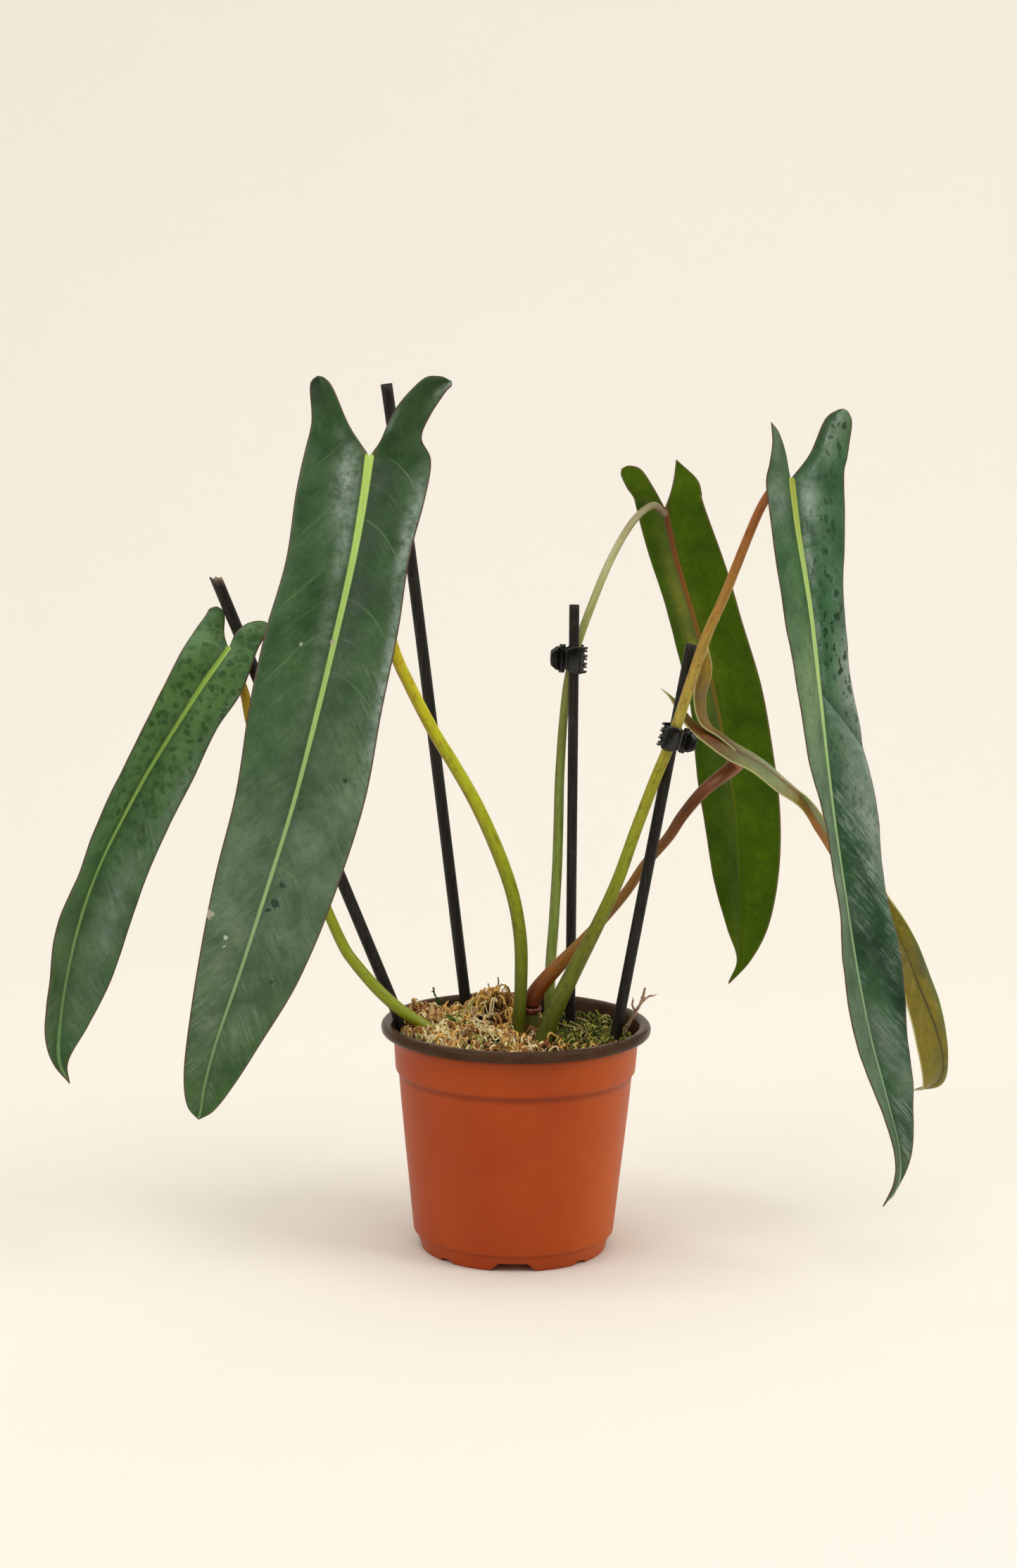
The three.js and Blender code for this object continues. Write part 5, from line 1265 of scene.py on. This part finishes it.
                (-1, -0.24, 0.5, 0.1, 1.2, 0, (0.12, 0.14, 0.03), 0.95),
                (-1, -0.06, 0.5, 0.075, 1.2, 0, (0.12, 0.02, 0.004), 0.98),
                (0, 0.09, 0.5, 0.09, 1.2, 0, (0.22, 0.27, 0.12), 0.9),
                (-1, 0.27, 0.5, 0.07, 1.2, 0, (0.4, 0.13, 0.008), 0.95),
                (1, 0.27, 0.5, 0.12, 1.2, 0, (0.22, 0.29, 0.13), 0.95),
                (0, 0.62, 0.5, 0.08, 1.2, 0, (0.12, 0.095, 0.004), 0.7),
                (0, 0.92, 0.5, 0.06, 1.2, 0, (0.225, 0.185, 0.002), 0.7),
                (0, 1, 0.5, 0.025, 1.2, 0, (0.05, 0.055, 0.006), 0.85),
                (1, 0.75, 0.95, 0.2, 0.25, 0, (0.05, 0.12, 0.01), 0.95),
            ],
            "rib": [(0.12, 0.03, 0.006), (0.22, 0.09, 0.02), (0.26, 0.22, 0.09), (0.12, 0.08, 0.005),
                    (0.045, 0.03, 0.003), (0.05, 0.035, 0.003), (0.12, 0.08, 0.004)],
            "streak": [(0, 0.5, 0.5, 0.9, 0.9, 0, 0.6)],
        },
        "rib_width": [0.8, 0.7, 0.6, 0.6, 0.55], "vein_spacing": 20, "swell": 0.4,
        "ripple": 0.3, "ripple_length": 7,
    },
}
SKINS["blade_young"]["under"] = SKINS["blade_young"]["upper"]
under_green = leaf_finish("leaf_underside_green", Veins=0.3, Vein_Colour=(0.12, 0.16, 0.05), Blots=0.3)
young_skin = leaf_finish("leaf_young_olive", Veins=0.15, Vein_Colour=(0.26, 0.24, 0.05),
                         Margin_Colour=(0.55, 0.50, 0.22), Streak_Colour=(0.36, 0.30, 0.04), Blots=0.8,
                         relief=0.0005, gloss=0.25)

# Marks on the front leaf: x, z and size in mm, and colour
DARK_SCAR, CHALK, HORN = (0.010, 0.030, 0.012), (0.52, 0.58, 0.48), (0.42, 0.38, 0.28)
FRONT_MARKS = [
    (-98.8, 174.7, 1.5, DARK_SCAR), (-101.7, 167.3, 2.0, DARK_SCAR), (-104.4, 164.6, 1.3, DARK_SCAR),
    (-91.9, 206.7, 0.8, DARK_SCAR), (-72.6, 218.5, 1.1, DARK_SCAR), (-102.5, 135.2, 1.2, DARK_SCAR),
    (-121.9, 153.4, 1.1, CHALK), (-122.2, 149.9, 0.5, CHALK), (-92.4, 274.6, 0.7, CHALK),
    (-79.1, 275.3, 1.1, HORN), (-128.6, 163.5, 2.0, HORN),
]
# Each blade: name, shape, slot, upper and lower material
BLADES = [
    ("blade_front", FRONT_LEAF, "leaf_green",
     leaf_finish("leaf_front_green", FRONT_MARKS, Veins=0.65, Vein_Colour=(0.13, 0.23, 0.08), Blots=0.85,
                 Sheen_Colour=(0.30, 0.37, 0.32), Streak_Colour=(0.26, 0.33, 0.26), gloss=0.38), under_green),
    ("blade_left", LEFT_LEAF, "leaf_green",
     leaf_finish("leaf_left_mottled", Veins=0.45, Vein_Colour=(0.10, 0.21, 0.05), Blots=0.8, Net=0.5,
                 Fleck_Size=0.0036, Fleck_Spread=0.54, Fleck_Colour=(0.026, 0.088, 0.014), gloss=0.40,
                 Sheen_Colour=(0.22, 0.29, 0.24), Streak_Colour=(0.22, 0.30, 0.22)), under_green),
    ("blade_right", RIGHT_LEAF, "leaf_green",
     leaf_finish("leaf_right_flecked", Veins=0.25, Blots=1.0, Net=0.25, gloss=0.28, Fleck_Size=0.0023,
                 Fleck_Spread=0.50, Fleck_Squeeze=0.42, Fleck_Colour=(0.004, 0.022, 0.008),
                 Streak_Colour=(0.33, 0.42, 0.36), Sheen_Colour=(0.32, 0.40, 0.34)), under_green),
    ("blade_back", BACK_LEAF, "leaf_back_green",
     leaf_finish("leaf_back_olive", Veins=0.35, Vein_Colour=(0.110, 0.175, 0.008), Blots=0.7, gloss=0.08,
                 Margin_Colour=(0.16, 0.11, 0.06), Streak_Colour=(0.110, 0.185, 0.005)), under_green),
    ("blade_young", YOUNG_LEAF, "leaf_young_olive", young_skin, young_skin),
]
for name, leaf, slot, upper_finish, lower_finish in BLADES:
    blade = blade_piece(name, leaf, SKINS[name], [upper_finish, lower_finish])
    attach(blade, "plant_and_pot")
    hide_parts(name)

# Claw clips
# Two small glossy black clips, each of two moulded jaws on a steel pin with a coiled spring. They
# hold a leaf stalk to a stake. Pressing the finger tabs together opens the moving jaw.

HINGE = 5.3
CLIP_HALF_WIDTH = 4.0
KNUCKLE_RADIUS, PIN_RADIUS = 1.4, 0.5
COIL_RADIUS, COIL_WIRE, COIL_TURNS, COIL_HEIGHT = 1.12, 0.14, 5, 1.44
# Each clip: name, middle, length, depth, side that the moving jaw is on, lean in degrees
CLIPS = [
    ("clip_middle", [23.8, 20.5, 262.3], 12.6, 5.1, 1, 2),
    ("clip_right", [66.5, -9.6, 231.6], 11.0, 5.75, -1, 14),
]


def squared(values, square):
    return np.sign(values) * np.abs(values) ** (2 / square)


def moulded_bar(path, depths, heights, z, steps=26, sides=20, square=3.2):
    """A softly squared bar along a path in the clip's own X-Y plane, with rounded ends."""
    line, _ = evenly([[x, y, z] for x, y in path], steps)
    along = unit(np.gradient(line, axis=0))
    out = np.stack([-along[:, 1], along[:, 0], np.zeros(steps)], 1)
    places, turns = np.linspace(0, 1, steps), full_turn(sides)[:, None]
    depth, height = level(depths, places), level(heights, places)
    across, up = squared(np.cos(turns), square), squared(np.sin(turns), square) * np.array([0, 0, 1])
    rings = [p + d * across * o + h * up for p, d, h, o in zip(line, depth, height, out)]
    for which, sign in ((0, -1), (-1, 1)):
        ring, middle = rings[which], line[which]
        for share, push in ((0.86, 0.55), (0.5, 0.85)):
            capped = middle + (ring - middle) * share + along[which] * sign * depth[which] * push
            rings = [capped] + rings if sign < 0 else rings + [capped]
    return skin_rings(rings)


def upright_barrel(radius, height, x, y, z, sides=28, edge=0.12):
    """A short barrel along the hinge, with softened rims."""
    turns, rings = full_turn(sides), []
    for share, lift in ((0.88, -0.5), (1.0, -0.5 + edge / height), (1.0, 0.5 - edge / height), (0.88, 0.5)):
        rings.append(np.stack([x + radius * share * np.cos(turns), y + radius * share * np.sin(turns),
                               np.full(sides, z + lift * height)], 1))
    return skin_rings(rings)


def clip_jaw(depth, length, side, teeth):
    """One jaw: finger tab, hinge neck and curved body in one bar, raised ribs, barrels and teeth."""
    out, half = depth + 0.5, length / 2

    def bar(path, depths, heights, z, **shape):
        return moulded_bar([(x, side * y) for x, y in path], depths, heights, z, **shape)

    body = [(-HINGE - 4.5, 4.6), (-HINGE - 2.6, 3.3), (-HINGE - 0.9, 1.9), (-HINGE + 0.5, 2.0),
            (-CLIP_HALF_WIDTH, out * 0.72), (-1.8, out), (1.8, out), (CLIP_HALF_WIDTH, out * 0.72)]
    pieces = [bar(body, [0.75, 0.7, 0.6, 0.55, 0.55, 0.58, 0.55, 0.5],
                  [h * half for h in (0.52, 0.80, 0.82, 0.66, 0.80, 0.97, 1.0, 0.96)], 0, steps=44)]
    for x, y, reach in ((-HINGE - 3.7, 4.35, 0.62), (-HINGE - 2.3, 3.5, 0.70), (-1.9, out + 0.35, 0.82),
                        (0.1, out + 0.42, 0.86), (2.0, out + 0.32, 0.84)):
        rib_line = [[x - 0.25 * (1 - s ** 2), side * y, s * reach * half] for s in np.linspace(-1, 1, 14)]
        thick = 0.34 * np.sin(np.linspace(0.5, np.pi - 0.5, 14))
        pieces.append(skin_rings(round_rings(np.array(rib_line), thick, 10)))
    tooth = [(CLIP_HALF_WIDTH * 0.72, out * 0.86), (CLIP_HALF_WIDTH + 0.75, out * 0.66),
             (CLIP_HALF_WIDTH + 1.5, out * 0.24), (CLIP_HALF_WIDTH + 0.9, -1.1)]
    for z in teeth:
        pieces.append(bar(tooth, [0.55, 0.60, 0.50, 0.28], [0.62, 0.56, 0.50, 0.30], z, steps=16, sides=14,
                          square=2.4))
    knuckle = 0.2 * length
    spot = (length - knuckle) / 2 * (1 if side < 0 else 0.45)
    for z in (-spot, spot):
        pieces.append(upright_barrel(KNUCKLE_RADIUS, knuckle, -HINGE, 0, z))
        pieces.append(bar([(-HINGE, 0.6), (-HINGE + 0.1, 2.0)], [0.8, 0.7], [knuckle * 0.45] * 2, z, steps=5,
                          sides=12))
    return gather(pieces)[:2]


clip_black, shader = new_finish("clip_gloss_black")
flow = mottled(object_place(shader), 0.003, detail=4)
feed(shader, {"Base Color": mixed(spread(flow, 0.35, 0.7), (0.004, 0.004, 0.0035), (0.012, 0.0115, 0.010)),
              "Roughness": spread(flow, 0.3, 0.7, 0.08, 0.18), "Specular IOR Level": 0.42})
roughen(shader, flow, 0.00005)

steel, shader = new_finish("spring_steel")
lines = put(shader, "Group", {"Stretch": 0.1, "Fineness": 4000, "Detail": 2},
            node_tree=drawn_surface).outputs[0]
feed(shader, {"Base Color": mixed(lines, (0.42, 0.41, 0.40), (0.60, 0.59, 0.57)), "Metallic": 1.0,
              "Roughness": spread(lines, 0.3, 0.7, 0.22, 0.38)})

climb = np.linspace(0, 1, 160)
coil_turn = 2 * np.pi * COIL_TURNS * climb
coil = np.stack([COIL_RADIUS * np.cos(coil_turn) - HINGE, COIL_RADIUS * np.sin(coil_turn),
                 COIL_HEIGHT * (climb - 0.5)], 1)
coil_skin = skin_rings(round_rings(coil, np.full(160, COIL_WIRE), 8))
for name, centre, length, depth, side, lean in CLIPS:
    stand = (Matrix.Translation(centre) @ Matrix.Rotation(math.radians(lean), 4, "Y")
             @ Matrix.Rotation(0 if side > 0 else math.pi, 4, "Z"))
    pitch = 0.14 * length
    jaws = {-1: [n * pitch for n in (-3, -1, 1, 3)], 1: [n * pitch for n in (-2, 0, 2)]}
    for part, node, body, slot, finish, (points, faces) in (
            ("fixed_jaw_moulded", "fixed_jaw", "plant_and_pot", "clip_black", clip_black,
             clip_jaw(depth, length, -side, jaws[-side])),
            ("moving_jaw_moulded", "moving_jaw", f"{name}_jaw", "clip_black", clip_black,
             clip_jaw(depth, length, side, jaws[side])),
            ("hinge_pin", "pin", "plant_and_pot", "steel", steel,
             upright_barrel(PIN_RADIUS, length - 0.6, -HINGE, 0, 0, sides=24)),
            ("coil_spring", "spring", "plant_and_pot", "steel", steel, coil_skin)):
        piece = solid_piece(f"{name}_{part}", [tuple(stand @ Vector(p)) for p in points], faces, [finish])
        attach(piece, body)
        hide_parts(f"{name}_{node}")

# Moss
# Dried sphagnum in crinkled golden strands, laid loose over the left of the soil and heaped behind
# the stem, and a pad of living dark green moss on the right.

MOUND_LIMIT, MOUND_BASE = 51.6, 90.3
SPOKES, BED_RINGS = 110, 26
# Walls that the moss stops at: direction x, y and distance
SPHAGNUM_MIDDLE, SPHAGNUM_WALLS = (-19, -7), [(1, 0.05, 13), (0, 1, 29), (0.7, 0.7, 24), (-0.7, 0.7, 38)]
GREEN_MIDDLE, GREEN_WALLS = (32, 0), [(-1, -0.05, -14), (0, 1, 38)]
CREAM, GOLD, TAN = (0.95, 0.80, 0.44), (0.86, 0.53, 0.13), (0.80, 0.50, 0.18)
BROWN, RUST, OLIVE = (0.34, 0.14, 0.035), (0.44, 0.19, 0.055), (0.48, 0.45, 0.10)
DARK_OLIVE, ROOT, TENDRIL = (0.12, 0.12, 0.018), (0.78, 0.70, 0.40), (0.16, 0.10, 0.055)


def hump(x, y, middle, reach, height):
    return height * math.exp(-((x - middle[0]) / reach[0]) ** 2 - ((y - middle[1]) / reach[1]) ** 2)


def clumps(x, y, size, seed):
    """Uneven little heaps, as moss lies when it is pulled apart and dropped."""
    return (noise.noise(Vector((x / size, y / size, seed)))
            + 0.5 * noise.noise(Vector((x / size * 2.1, y / size * 2.1, seed))))


def sphagnum_height(x, y):
    return (MOUND_BASE + 5 + hump(x, y, (-10, 17), (14, 10), 14) + hump(x, y, (-42, 8), (11, 14), 7.5)
            + hump(x, y, (-16, -26), (26, 14), 4) - hump(x, y, (6, -21), (7, 8), 9)
            + 2.2 * clumps(x, y, 5.5, 2))


def green_height(x, y):
    return (MOUND_BASE + 4.0 + hump(x, y, (30, 26), (13, 12), 3) + hump(x, y, (20, -28), (12, 12), 2.5)
            - hump(x, y, (6, -21), (7, 8), 8) + 2.5 * clumps(x, y, 5.5, 5))


def reach_out(middle, angle, walls):
    """How far the moss spreads from its middle in one direction, inside the pot's mouth."""
    dx, dy = math.cos(angle), math.sin(angle)
    b = middle[0] * dx + middle[1] * dy
    reach = -b + math.sqrt(b * b - middle[0] ** 2 - middle[1] ** 2 + MOUND_LIMIT ** 2)
    for wx, wy, limit in walls:
        rate = wx * dx + wy * dy
        if rate > 1e-6:
            reach = min(reach, (limit - wx * middle[0] - wy * middle[1]) / rate)
    return reach


def moss_bed(middle, walls, height, lower):
    """The matted bed under the strands, closed underneath."""
    points = [(*middle, height(*middle) - lower)]
    for j in range(1, BED_RINGS + 1):
        for i in range(SPOKES):
            angle = 2 * math.pi * i / SPOKES
            r = reach_out(middle, angle, walls) * j / BED_RINGS
            x, y = middle[0] + r * math.cos(angle), middle[1] + r * math.sin(angle)
            bumps = 1.3 * noise.noise(Vector((x, y, 3)) / 4) + 0.8 * noise.noise(Vector((x, y, 9)) / 1.7)
            rise = (height(x, y) - MOUND_BASE - lower) * min(1, (BED_RINGS - j) / 3.0)
            z = max(MOUND_BASE - 0.4, rise + MOUND_BASE + bumps) if j < BED_RINGS else MOUND_BASE - 0.5
            points.append((x, y, z))
    faces, low, last = [], len(points), 1 + (BED_RINGS - 1) * SPOKES
    for i in range(SPOKES):
        k = (i + 1) % SPOKES
        faces.append((0, 1 + i, 1 + k))
        faces += [(a + i, a + SPOKES + i, a + SPOKES + k, a + k) for a in range(1, last, SPOKES)]
    faces += [(low, last + (i + 1) % SPOKES, last + i) for i in range(SPOKES)]
    return points + [(*middle, MOUND_BASE - 0.6)], faces


def strand(line, thick, luck, flat=0.6, sides=5):
    """One crinkled strand along a line, tapering to both ends."""
    line = np.asarray(line, float)
    count = len(line)
    taper = np.minimum(1, np.minimum(np.arange(count) + 0.8, count - np.arange(count) - 0.2) / 2.2)
    crinkle = np.array([luck.uniform(0.65, 1.3) for _ in range(count)])
    _, sideways, up = carried_frames(line, [luck.uniform(-1, 1) for _ in range(3)])
    turns = full_turn(sides)[:, None]
    return skin_rings([p + r * (np.cos(turns) * s + flat * np.sin(turns) * u)
                       for p, s, u, r in zip(line, sideways, up, thick * taper * crinkle)])


def wandering(x, y, heading, length, curl, height, lift, luck, rise):
    """A strand's line that wanders over the moss, looping up off it now and then."""
    line, turn = [], 0.0
    wave, phase = luck.uniform(0.25, 0.6), luck.uniform(0, 6.28)
    count = max(5, int(length))
    for i in range(count):
        turn = 0.82 * turn + luck.gauss(0, curl)
        heading += turn
        x, y = x + math.cos(heading), y + math.sin(heading)
        inside = (MOUND_LIMIT - 0.6) / math.hypot(x, y)
        if inside < 1:
            x, y = x * inside, y * inside
            heading += 0.9
        z = height(x, y) + lift + 1.5 * math.sin(phase + wave * i * 2.2) + rise * (i / count) ** 2
        line.append((x, y, max(z, MOUND_BASE)))
    return line


# Moss cells: each strand's own colour, with paler and darker cells
moss_cells, given, result = new_effect("moss_cells", {"Fineness": 1100.0}, ["Colour", "Height"])
cells = put(result, "TexNoise", {"Vector": object_place(result), "Scale": given["Fineness"], "Detail": 4.0,
                                 "Roughness": 0.55}).outputs["Fac"]
tone = read_colour(result, "paint")
darker, lighter = tinted(tone, (0.60, 0.50, 0.42)), tinted(tone, (1.15, 1.17, 1.25))
tone = mixed(spread(cells, 0.55, 0.75), mixed(spread(cells, 0.50, 0.32), tone, darker), lighter)
feed(result, {"Colour": tone, "Height": cells})


def moss_finish(name, cell_size):
    """Matt moss with cells of one size."""
    material, shader = new_finish(name)
    moss = put(shader, "Group", {"Fineness": 1 / cell_size}, node_tree=moss_cells).outputs
    feed(shader, {"Base Color": moss["Colour"], "Roughness": 0.78, "Specular IOR Level": 0.3})
    roughen(shader, moss["Height"], 0.0003)
    return material


def choose(luck, weighted):
    total = luck.uniform(0, sum(weight for _, weight in weighted))
    for value, weight in weighted:
        total -= weight
        if total <= 0:
            return value
    return weighted[-1][0]


def sphagnum_tone(x, y, luck):
    """Golden behind the stem, reddish at the back left, paler and greener towards the front."""
    patch = clumps(x, y, 4.5, 11)
    if y > 6 and x > -30:
        mix = [(GOLD, 6), (CREAM, 2), (TAN, 3), (BROWN, 1.5)]
    elif x < -36 and y > 4:
        mix = [(RUST, 5), (TAN, 2.5), (BROWN, 4), (CREAM, 1)]
    elif x > 0:
        mix = [(RUST, 1.5), (TAN, 3), (BROWN, 5), (GOLD, 2), (CREAM, 1)]
    elif y < -22:
        mix = [(CREAM, 6), (TAN, 3), (OLIVE, 2.5), (BROWN, 3), (GOLD, 1)]
    else:
        mix = [(CREAM, 6), (TAN, 4), (BROWN, 2.5), (OLIVE, 1.5), (GOLD, 1.5)]
    tone = choose(luck, mix)
    if patch < -0.28 and luck.random() < 0.75:
        tone = BROWN if x > -8 else RUST
    elif patch > 0.22 and luck.random() < 0.75:
        tone = GOLD if y > 6 else CREAM
    shade = luck.uniform(0.68, 1.02)
    return tuple(c * shade for c in tone)


def green_tone(x, y, luck):
    """Dark olive with lighter tips, golden-brown at the front and some dead tan strands."""
    if y < -14:
        mix = [(TAN, 1.2), (GOLD, 1), (BROWN, 5), (RUST, 1), (OLIVE, 3), (DARK_OLIVE, 4)]
    else:
        mix = [((0.10, 0.12, 0.015), 5), ((0.18, 0.21, 0.025), 4), ((0.46, 0.46, 0.060), 2.5),
               ((0.20, 0.080, 0.026), 1.4), ((0.62, 0.50, 0.22), 0.9)]
    tone = choose(luck, mix)
    shade = luck.uniform(0.65, 1.25)
    return tuple(c * shade for c in tone)


def strew(pieces, colours, middle, walls, height, tones, luck, count, lengths, thicks, curl, lifts, flats,
          rise):
    """Strews strands over a bed, each with its own tone."""
    for _ in range(count):
        angle = luck.uniform(0, 2 * math.pi)
        r = reach_out(middle, angle, walls) * 0.97 * math.sqrt(luck.random())
        x, y = middle[0] + r * math.cos(angle), middle[1] + r * math.sin(angle)
        lift = luck.uniform(*lifts)
        line = wandering(x, y, luck.uniform(0, 6.28), luck.uniform(*lengths), curl, height, lift, luck,
                         luck.uniform(-0.5, 1) * rise)
        pieces.append(strand(line, luck.uniform(*thicks), luck, luck.uniform(*flats)))
        colours.append(tones(x, y, luck))


def moss_pad(name, pieces, colours, finish, height, dark, gain):
    """Joins the strands, with painted shade that darkens them where they lie low: bottom share, then how fast
    it lightens per mm.
    """
    points, faces, owners = gather(pieces)
    pad = solid_piece(name, points, faces, [finish])
    # Painted shade: strands and bed lying low among the others are painted darker
    above = np.array([p[2] - height(p[0], p[1]) for p in points])
    shade = np.clip(dark + gain * (above + 1.0), dark, 1.1)
    write_colours(pad, "paint", np.array(colours)[owners] * shade[:, None])
    return pad


dry_strands = moss_finish("sphagnum_strands", 0.0009)
luck = random.Random(7)
sphagnum_bed = (SPHAGNUM_MIDDLE, SPHAGNUM_WALLS, sphagnum_height)
pieces, colours = [moss_bed(*sphagnum_bed, 1.2)], [(0.22, 0.11, 0.045)]
strew(pieces, colours, *sphagnum_bed, sphagnum_tone, luck, 640, (9, 24), (0.38, 0.82), 0.42, (-1.0, 4.0),
      (0.4, 0.85), 4.0)
strew(pieces, colours, *sphagnum_bed, sphagnum_tone, luck, 160, (4.5, 8), (0.55, 1.0), 0.6, (-0.6, 2.6),
      (0.3, 0.6), 2.0)
sphagnum = moss_pad("sphagnum_strands", pieces, colours, dry_strands, sphagnum_height, 0.07, 0.28)
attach(sphagnum, "plant_and_pot")
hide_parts("sphagnum_moss")

# Loose odds and ends on the sphagnum: a folded dry leaf, pale roots, green sprigs and a forked tendril
odds, odd_colours = [], []


def lay(points_along, thick, colour, flat=0.8, count=None):
    line, _ = evenly(points_along, count or max(8, 5 * len(points_along)))
    odds.append(strand(line, thick, luck, flat, 7))
    odd_colours.append(colour)


def folded_leaf(foot, tip, width, colour):
    """A dry leaf folded into a pointed trough, standing on its wider end."""
    foot, tip = np.asarray(foot, float), np.asarray(tip, float)
    rings = []
    for s in np.linspace(0, 1, 9):
        half = width * (1 - s) ** 0.8 * 0.5 + 0.12
        ring = [(half * math.cos(a), half * 0.55 * math.sin(a) - (0.5 * half if k % 3 == 0 else 0), 0)
                for k, a in enumerate(full_turn(9))]
        rings.append(foot + (tip - foot) * s + ring)
    odds.append(skin_rings(rings))
    odd_colours.append(colour)


def sprig(foot, lean, height, colour, leaves):
    """A tiny upright shoot with paired leaves."""
    def up_stem(s):
        return np.add(foot, np.array(lean) * (s ** 1.4)) + (0, 0, height * s)

    lay([up_stem(s) for s in np.linspace(0, 1, 6)], 0.3, colour)
    for i in range(leaves):
        at = up_stem(0.35 + 0.65 * i / max(1, leaves - 1))
        way = luck.uniform(0, 6.28)
        end = at + (math.cos(way) * 1.5, math.sin(way) * 1.0, 0.5)
        lay([at, (at + end) / 2 + (0, 0, 0.3), end], 0.62, colour, flat=0.45, count=7)


for root in ([[-33, 2, 99], [-37, -4, 99], [-43, -9, 99.5], [-47, -12, 97.5], [-48.5, -14, 95]],
             [[-47, -12, 97.6], [-46, -14.5, 96], [-44.5, -16, 94.8]],
             [[-36, -6, 98.8], [-36.5, -13, 99.2], [-37.5, -19, 97], [-37, -24, 94.5]],
             [[-30, 6, 101], [-33, -1, 101.5], [-35, -6, 99.5], [-41, -10, 98.6]],
             [[-22, 12, 103], [-18, 6, 101.5], [-12, 2, 99], [-6, -2, 97.5]],
             [[-27, 14, 103], [-24, 9, 102.5], [-22, 3, 101], [-20, -3, 99]]):
    lay(root, luck.uniform(0.6, 0.95), ROOT)
for bend in ([[-10, 18, 107], [-9.4, 19, 111.5], [-8, 20, 113.6], [-5.6, 20.5, 114], [-3.8, 20, 112.6],
              [-3.0, 19.5, 110.8]],
             [[-9.7, 18.5, 109.8], [-11.8, 19.5, 112.2], [-12.8, 20, 115]],
             [[-8.6, 19.6, 112.8], [-8, 20.4, 115.4], [-8.4, 21, 117.6]]):
    lay(bend, 0.36, TENDRIL)
folded_leaf((-37.0, 1, 98), (-37.6, 5.5, 109), 6.2, (0.66, 0.42, 0.18))
folded_leaf((-33.6, 0, 98.5), (-34.8, 4.5, 107), 3.6, (0.70, 0.48, 0.22))
folded_leaf((-24.5, 6, 100), (-22.5, 7, 106.5), 2.6, (0.70, 0.52, 0.26))
sprig((-34.5, 20, 101), (-3.0, 2, 0), 10.5, (0.055, 0.12, 0.02), 9)
sprig((-36, 20, 101), (1.8, 0, 0), 5.5, (0.05, 0.10, 0.02), 5)
for _ in range(16):
    foot = (luck.uniform(-33, -20), luck.uniform(2, 12), sphagnum_height(-27, 7) - MOUND_BASE + 90.5)
    sprig(foot, (luck.uniform(-2, 2), luck.uniform(-2, 1), 0), luck.uniform(2.5, 4.5),
          (luck.uniform(0.10, 0.22), luck.uniform(0.22, 0.34), 0.045), 5)
points, faces, owners = gather(odds)
scraps = solid_piece("sphagnum_roots_and_sprigs", points, faces, [dry_strands])
write_colours(scraps, "paint", np.array(odd_colours)[owners])
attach(scraps, "plant_and_pot")

living_strands = moss_finish("green_moss_strands", 0.0008)
luck = random.Random(19)
green_bed = (GREEN_MIDDLE, GREEN_WALLS, green_height)
pieces, colours = [moss_bed(*green_bed, 1.4)], [(0.014, 0.014, 0.004)]
strew(pieces, colours, *green_bed, green_tone, luck, 1150, (5, 10), (0.30, 0.62), 0.42, (-1.4, 1.6),
      (0.5, 0.9), 3.0)
for pale in ([[20, 22, 97], [23, 18, 98.5], [26, 13, 98.5], [30, 8, 97.5]],
             [[24, 24, 98], [28, 20, 99], [33, 16, 98.5]],
             [[21, 12, 97.5], [24, 7, 98.5], [29, 3, 98], [33, -2, 97]],
             [[18, -14, 98], [20, -22, 98.5], [23, -30, 97], [25, -36, 95.5]],
             [[38, 24, 98], [41, 27, 99], [43, 25, 98.5]]):
    pieces.append(strand(evenly(pale, 18)[0], 0.5, luck, 0.8, 6))
    colours.append((0.40, 0.33, 0.15))
green = moss_pad("green_moss_pad", pieces, colours, living_strands, green_height, 0.10, 0.32)
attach(green, "plant_and_pot")
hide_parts("green_moss")

# Twig
# A short bit of dead twig, pale brown and knobbly, that forks twice towards its tip. It is stuck in
# the mix at the right edge.

TWIG_STEMS = [
    ([[45.5, -3, 91], [48.5, -3, 99], [52, -3, 106], [55.5, -3, 112.5], [57, -3, 118.5]], [1, 0.8, 0.5]),
    ([[55, -3, 111.5], [58.5, -2, 114.5], [61, -2, 115]], [0.6, 0.4]),
    ([[53, -3, 108], [51.5, -4, 111], [51.8, -4.5, 113.5]], [0.5, 0.4]),
]
TWIG_TIPS = [((57, -3, 118), (0.1, 0, 1.2)), ((60.8, -2, 115), (1.6, 0, 0.7)),
             ((51.8, -4.5, 113.3), (-0.3, 0, 1.4))]
TWIG_STEPS = 34
bark, shader = new_finish("twig_bark")
ridges = mottled(object_place(shader), 0.0011, detail=5)
feed(shader, {"Base Color": mixed(spread(ridges, 0.35, 0.7), (0.24, 0.13, 0.07), (0.70, 0.50, 0.34)),
              "Roughness": 0.85})
roughen(shader, ridges, 0.0006)
luck = random.Random(3)
twig_pieces = []
for path, radii in TWIG_STEMS:
    line, length = evenly(path, TWIG_STEPS)
    knobbly = np.array([luck.uniform(0.8, 1.25) for _ in range(TWIG_STEPS)])
    radius = level(radii, np.linspace(0, 1, TWIG_STEPS)) * knobbly
    twig_pieces.append(skin_rings(round_rings(line, radius, 12)))
    for _ in range(int(length / 6)):
        at = line[luck.randrange(4, 30)]
        twig_pieces.append(crumb(tuple(at), radius.mean() * 1.35, luck, flat=0.9))
for tip, way in TWIG_TIPS:
    line, _ = evenly([tip, np.add(tip, np.array(way) * 0.5), np.add(tip, way)], 8)
    twig_pieces.append(skin_rings(round_rings(line, np.linspace(0.35, 0.1, 8), 8)))
points, faces, _ = gather(twig_pieces)
twig = solid_piece("forked_twig", points, faces, [bark])
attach(twig, "plant_and_pot")
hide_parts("twig")
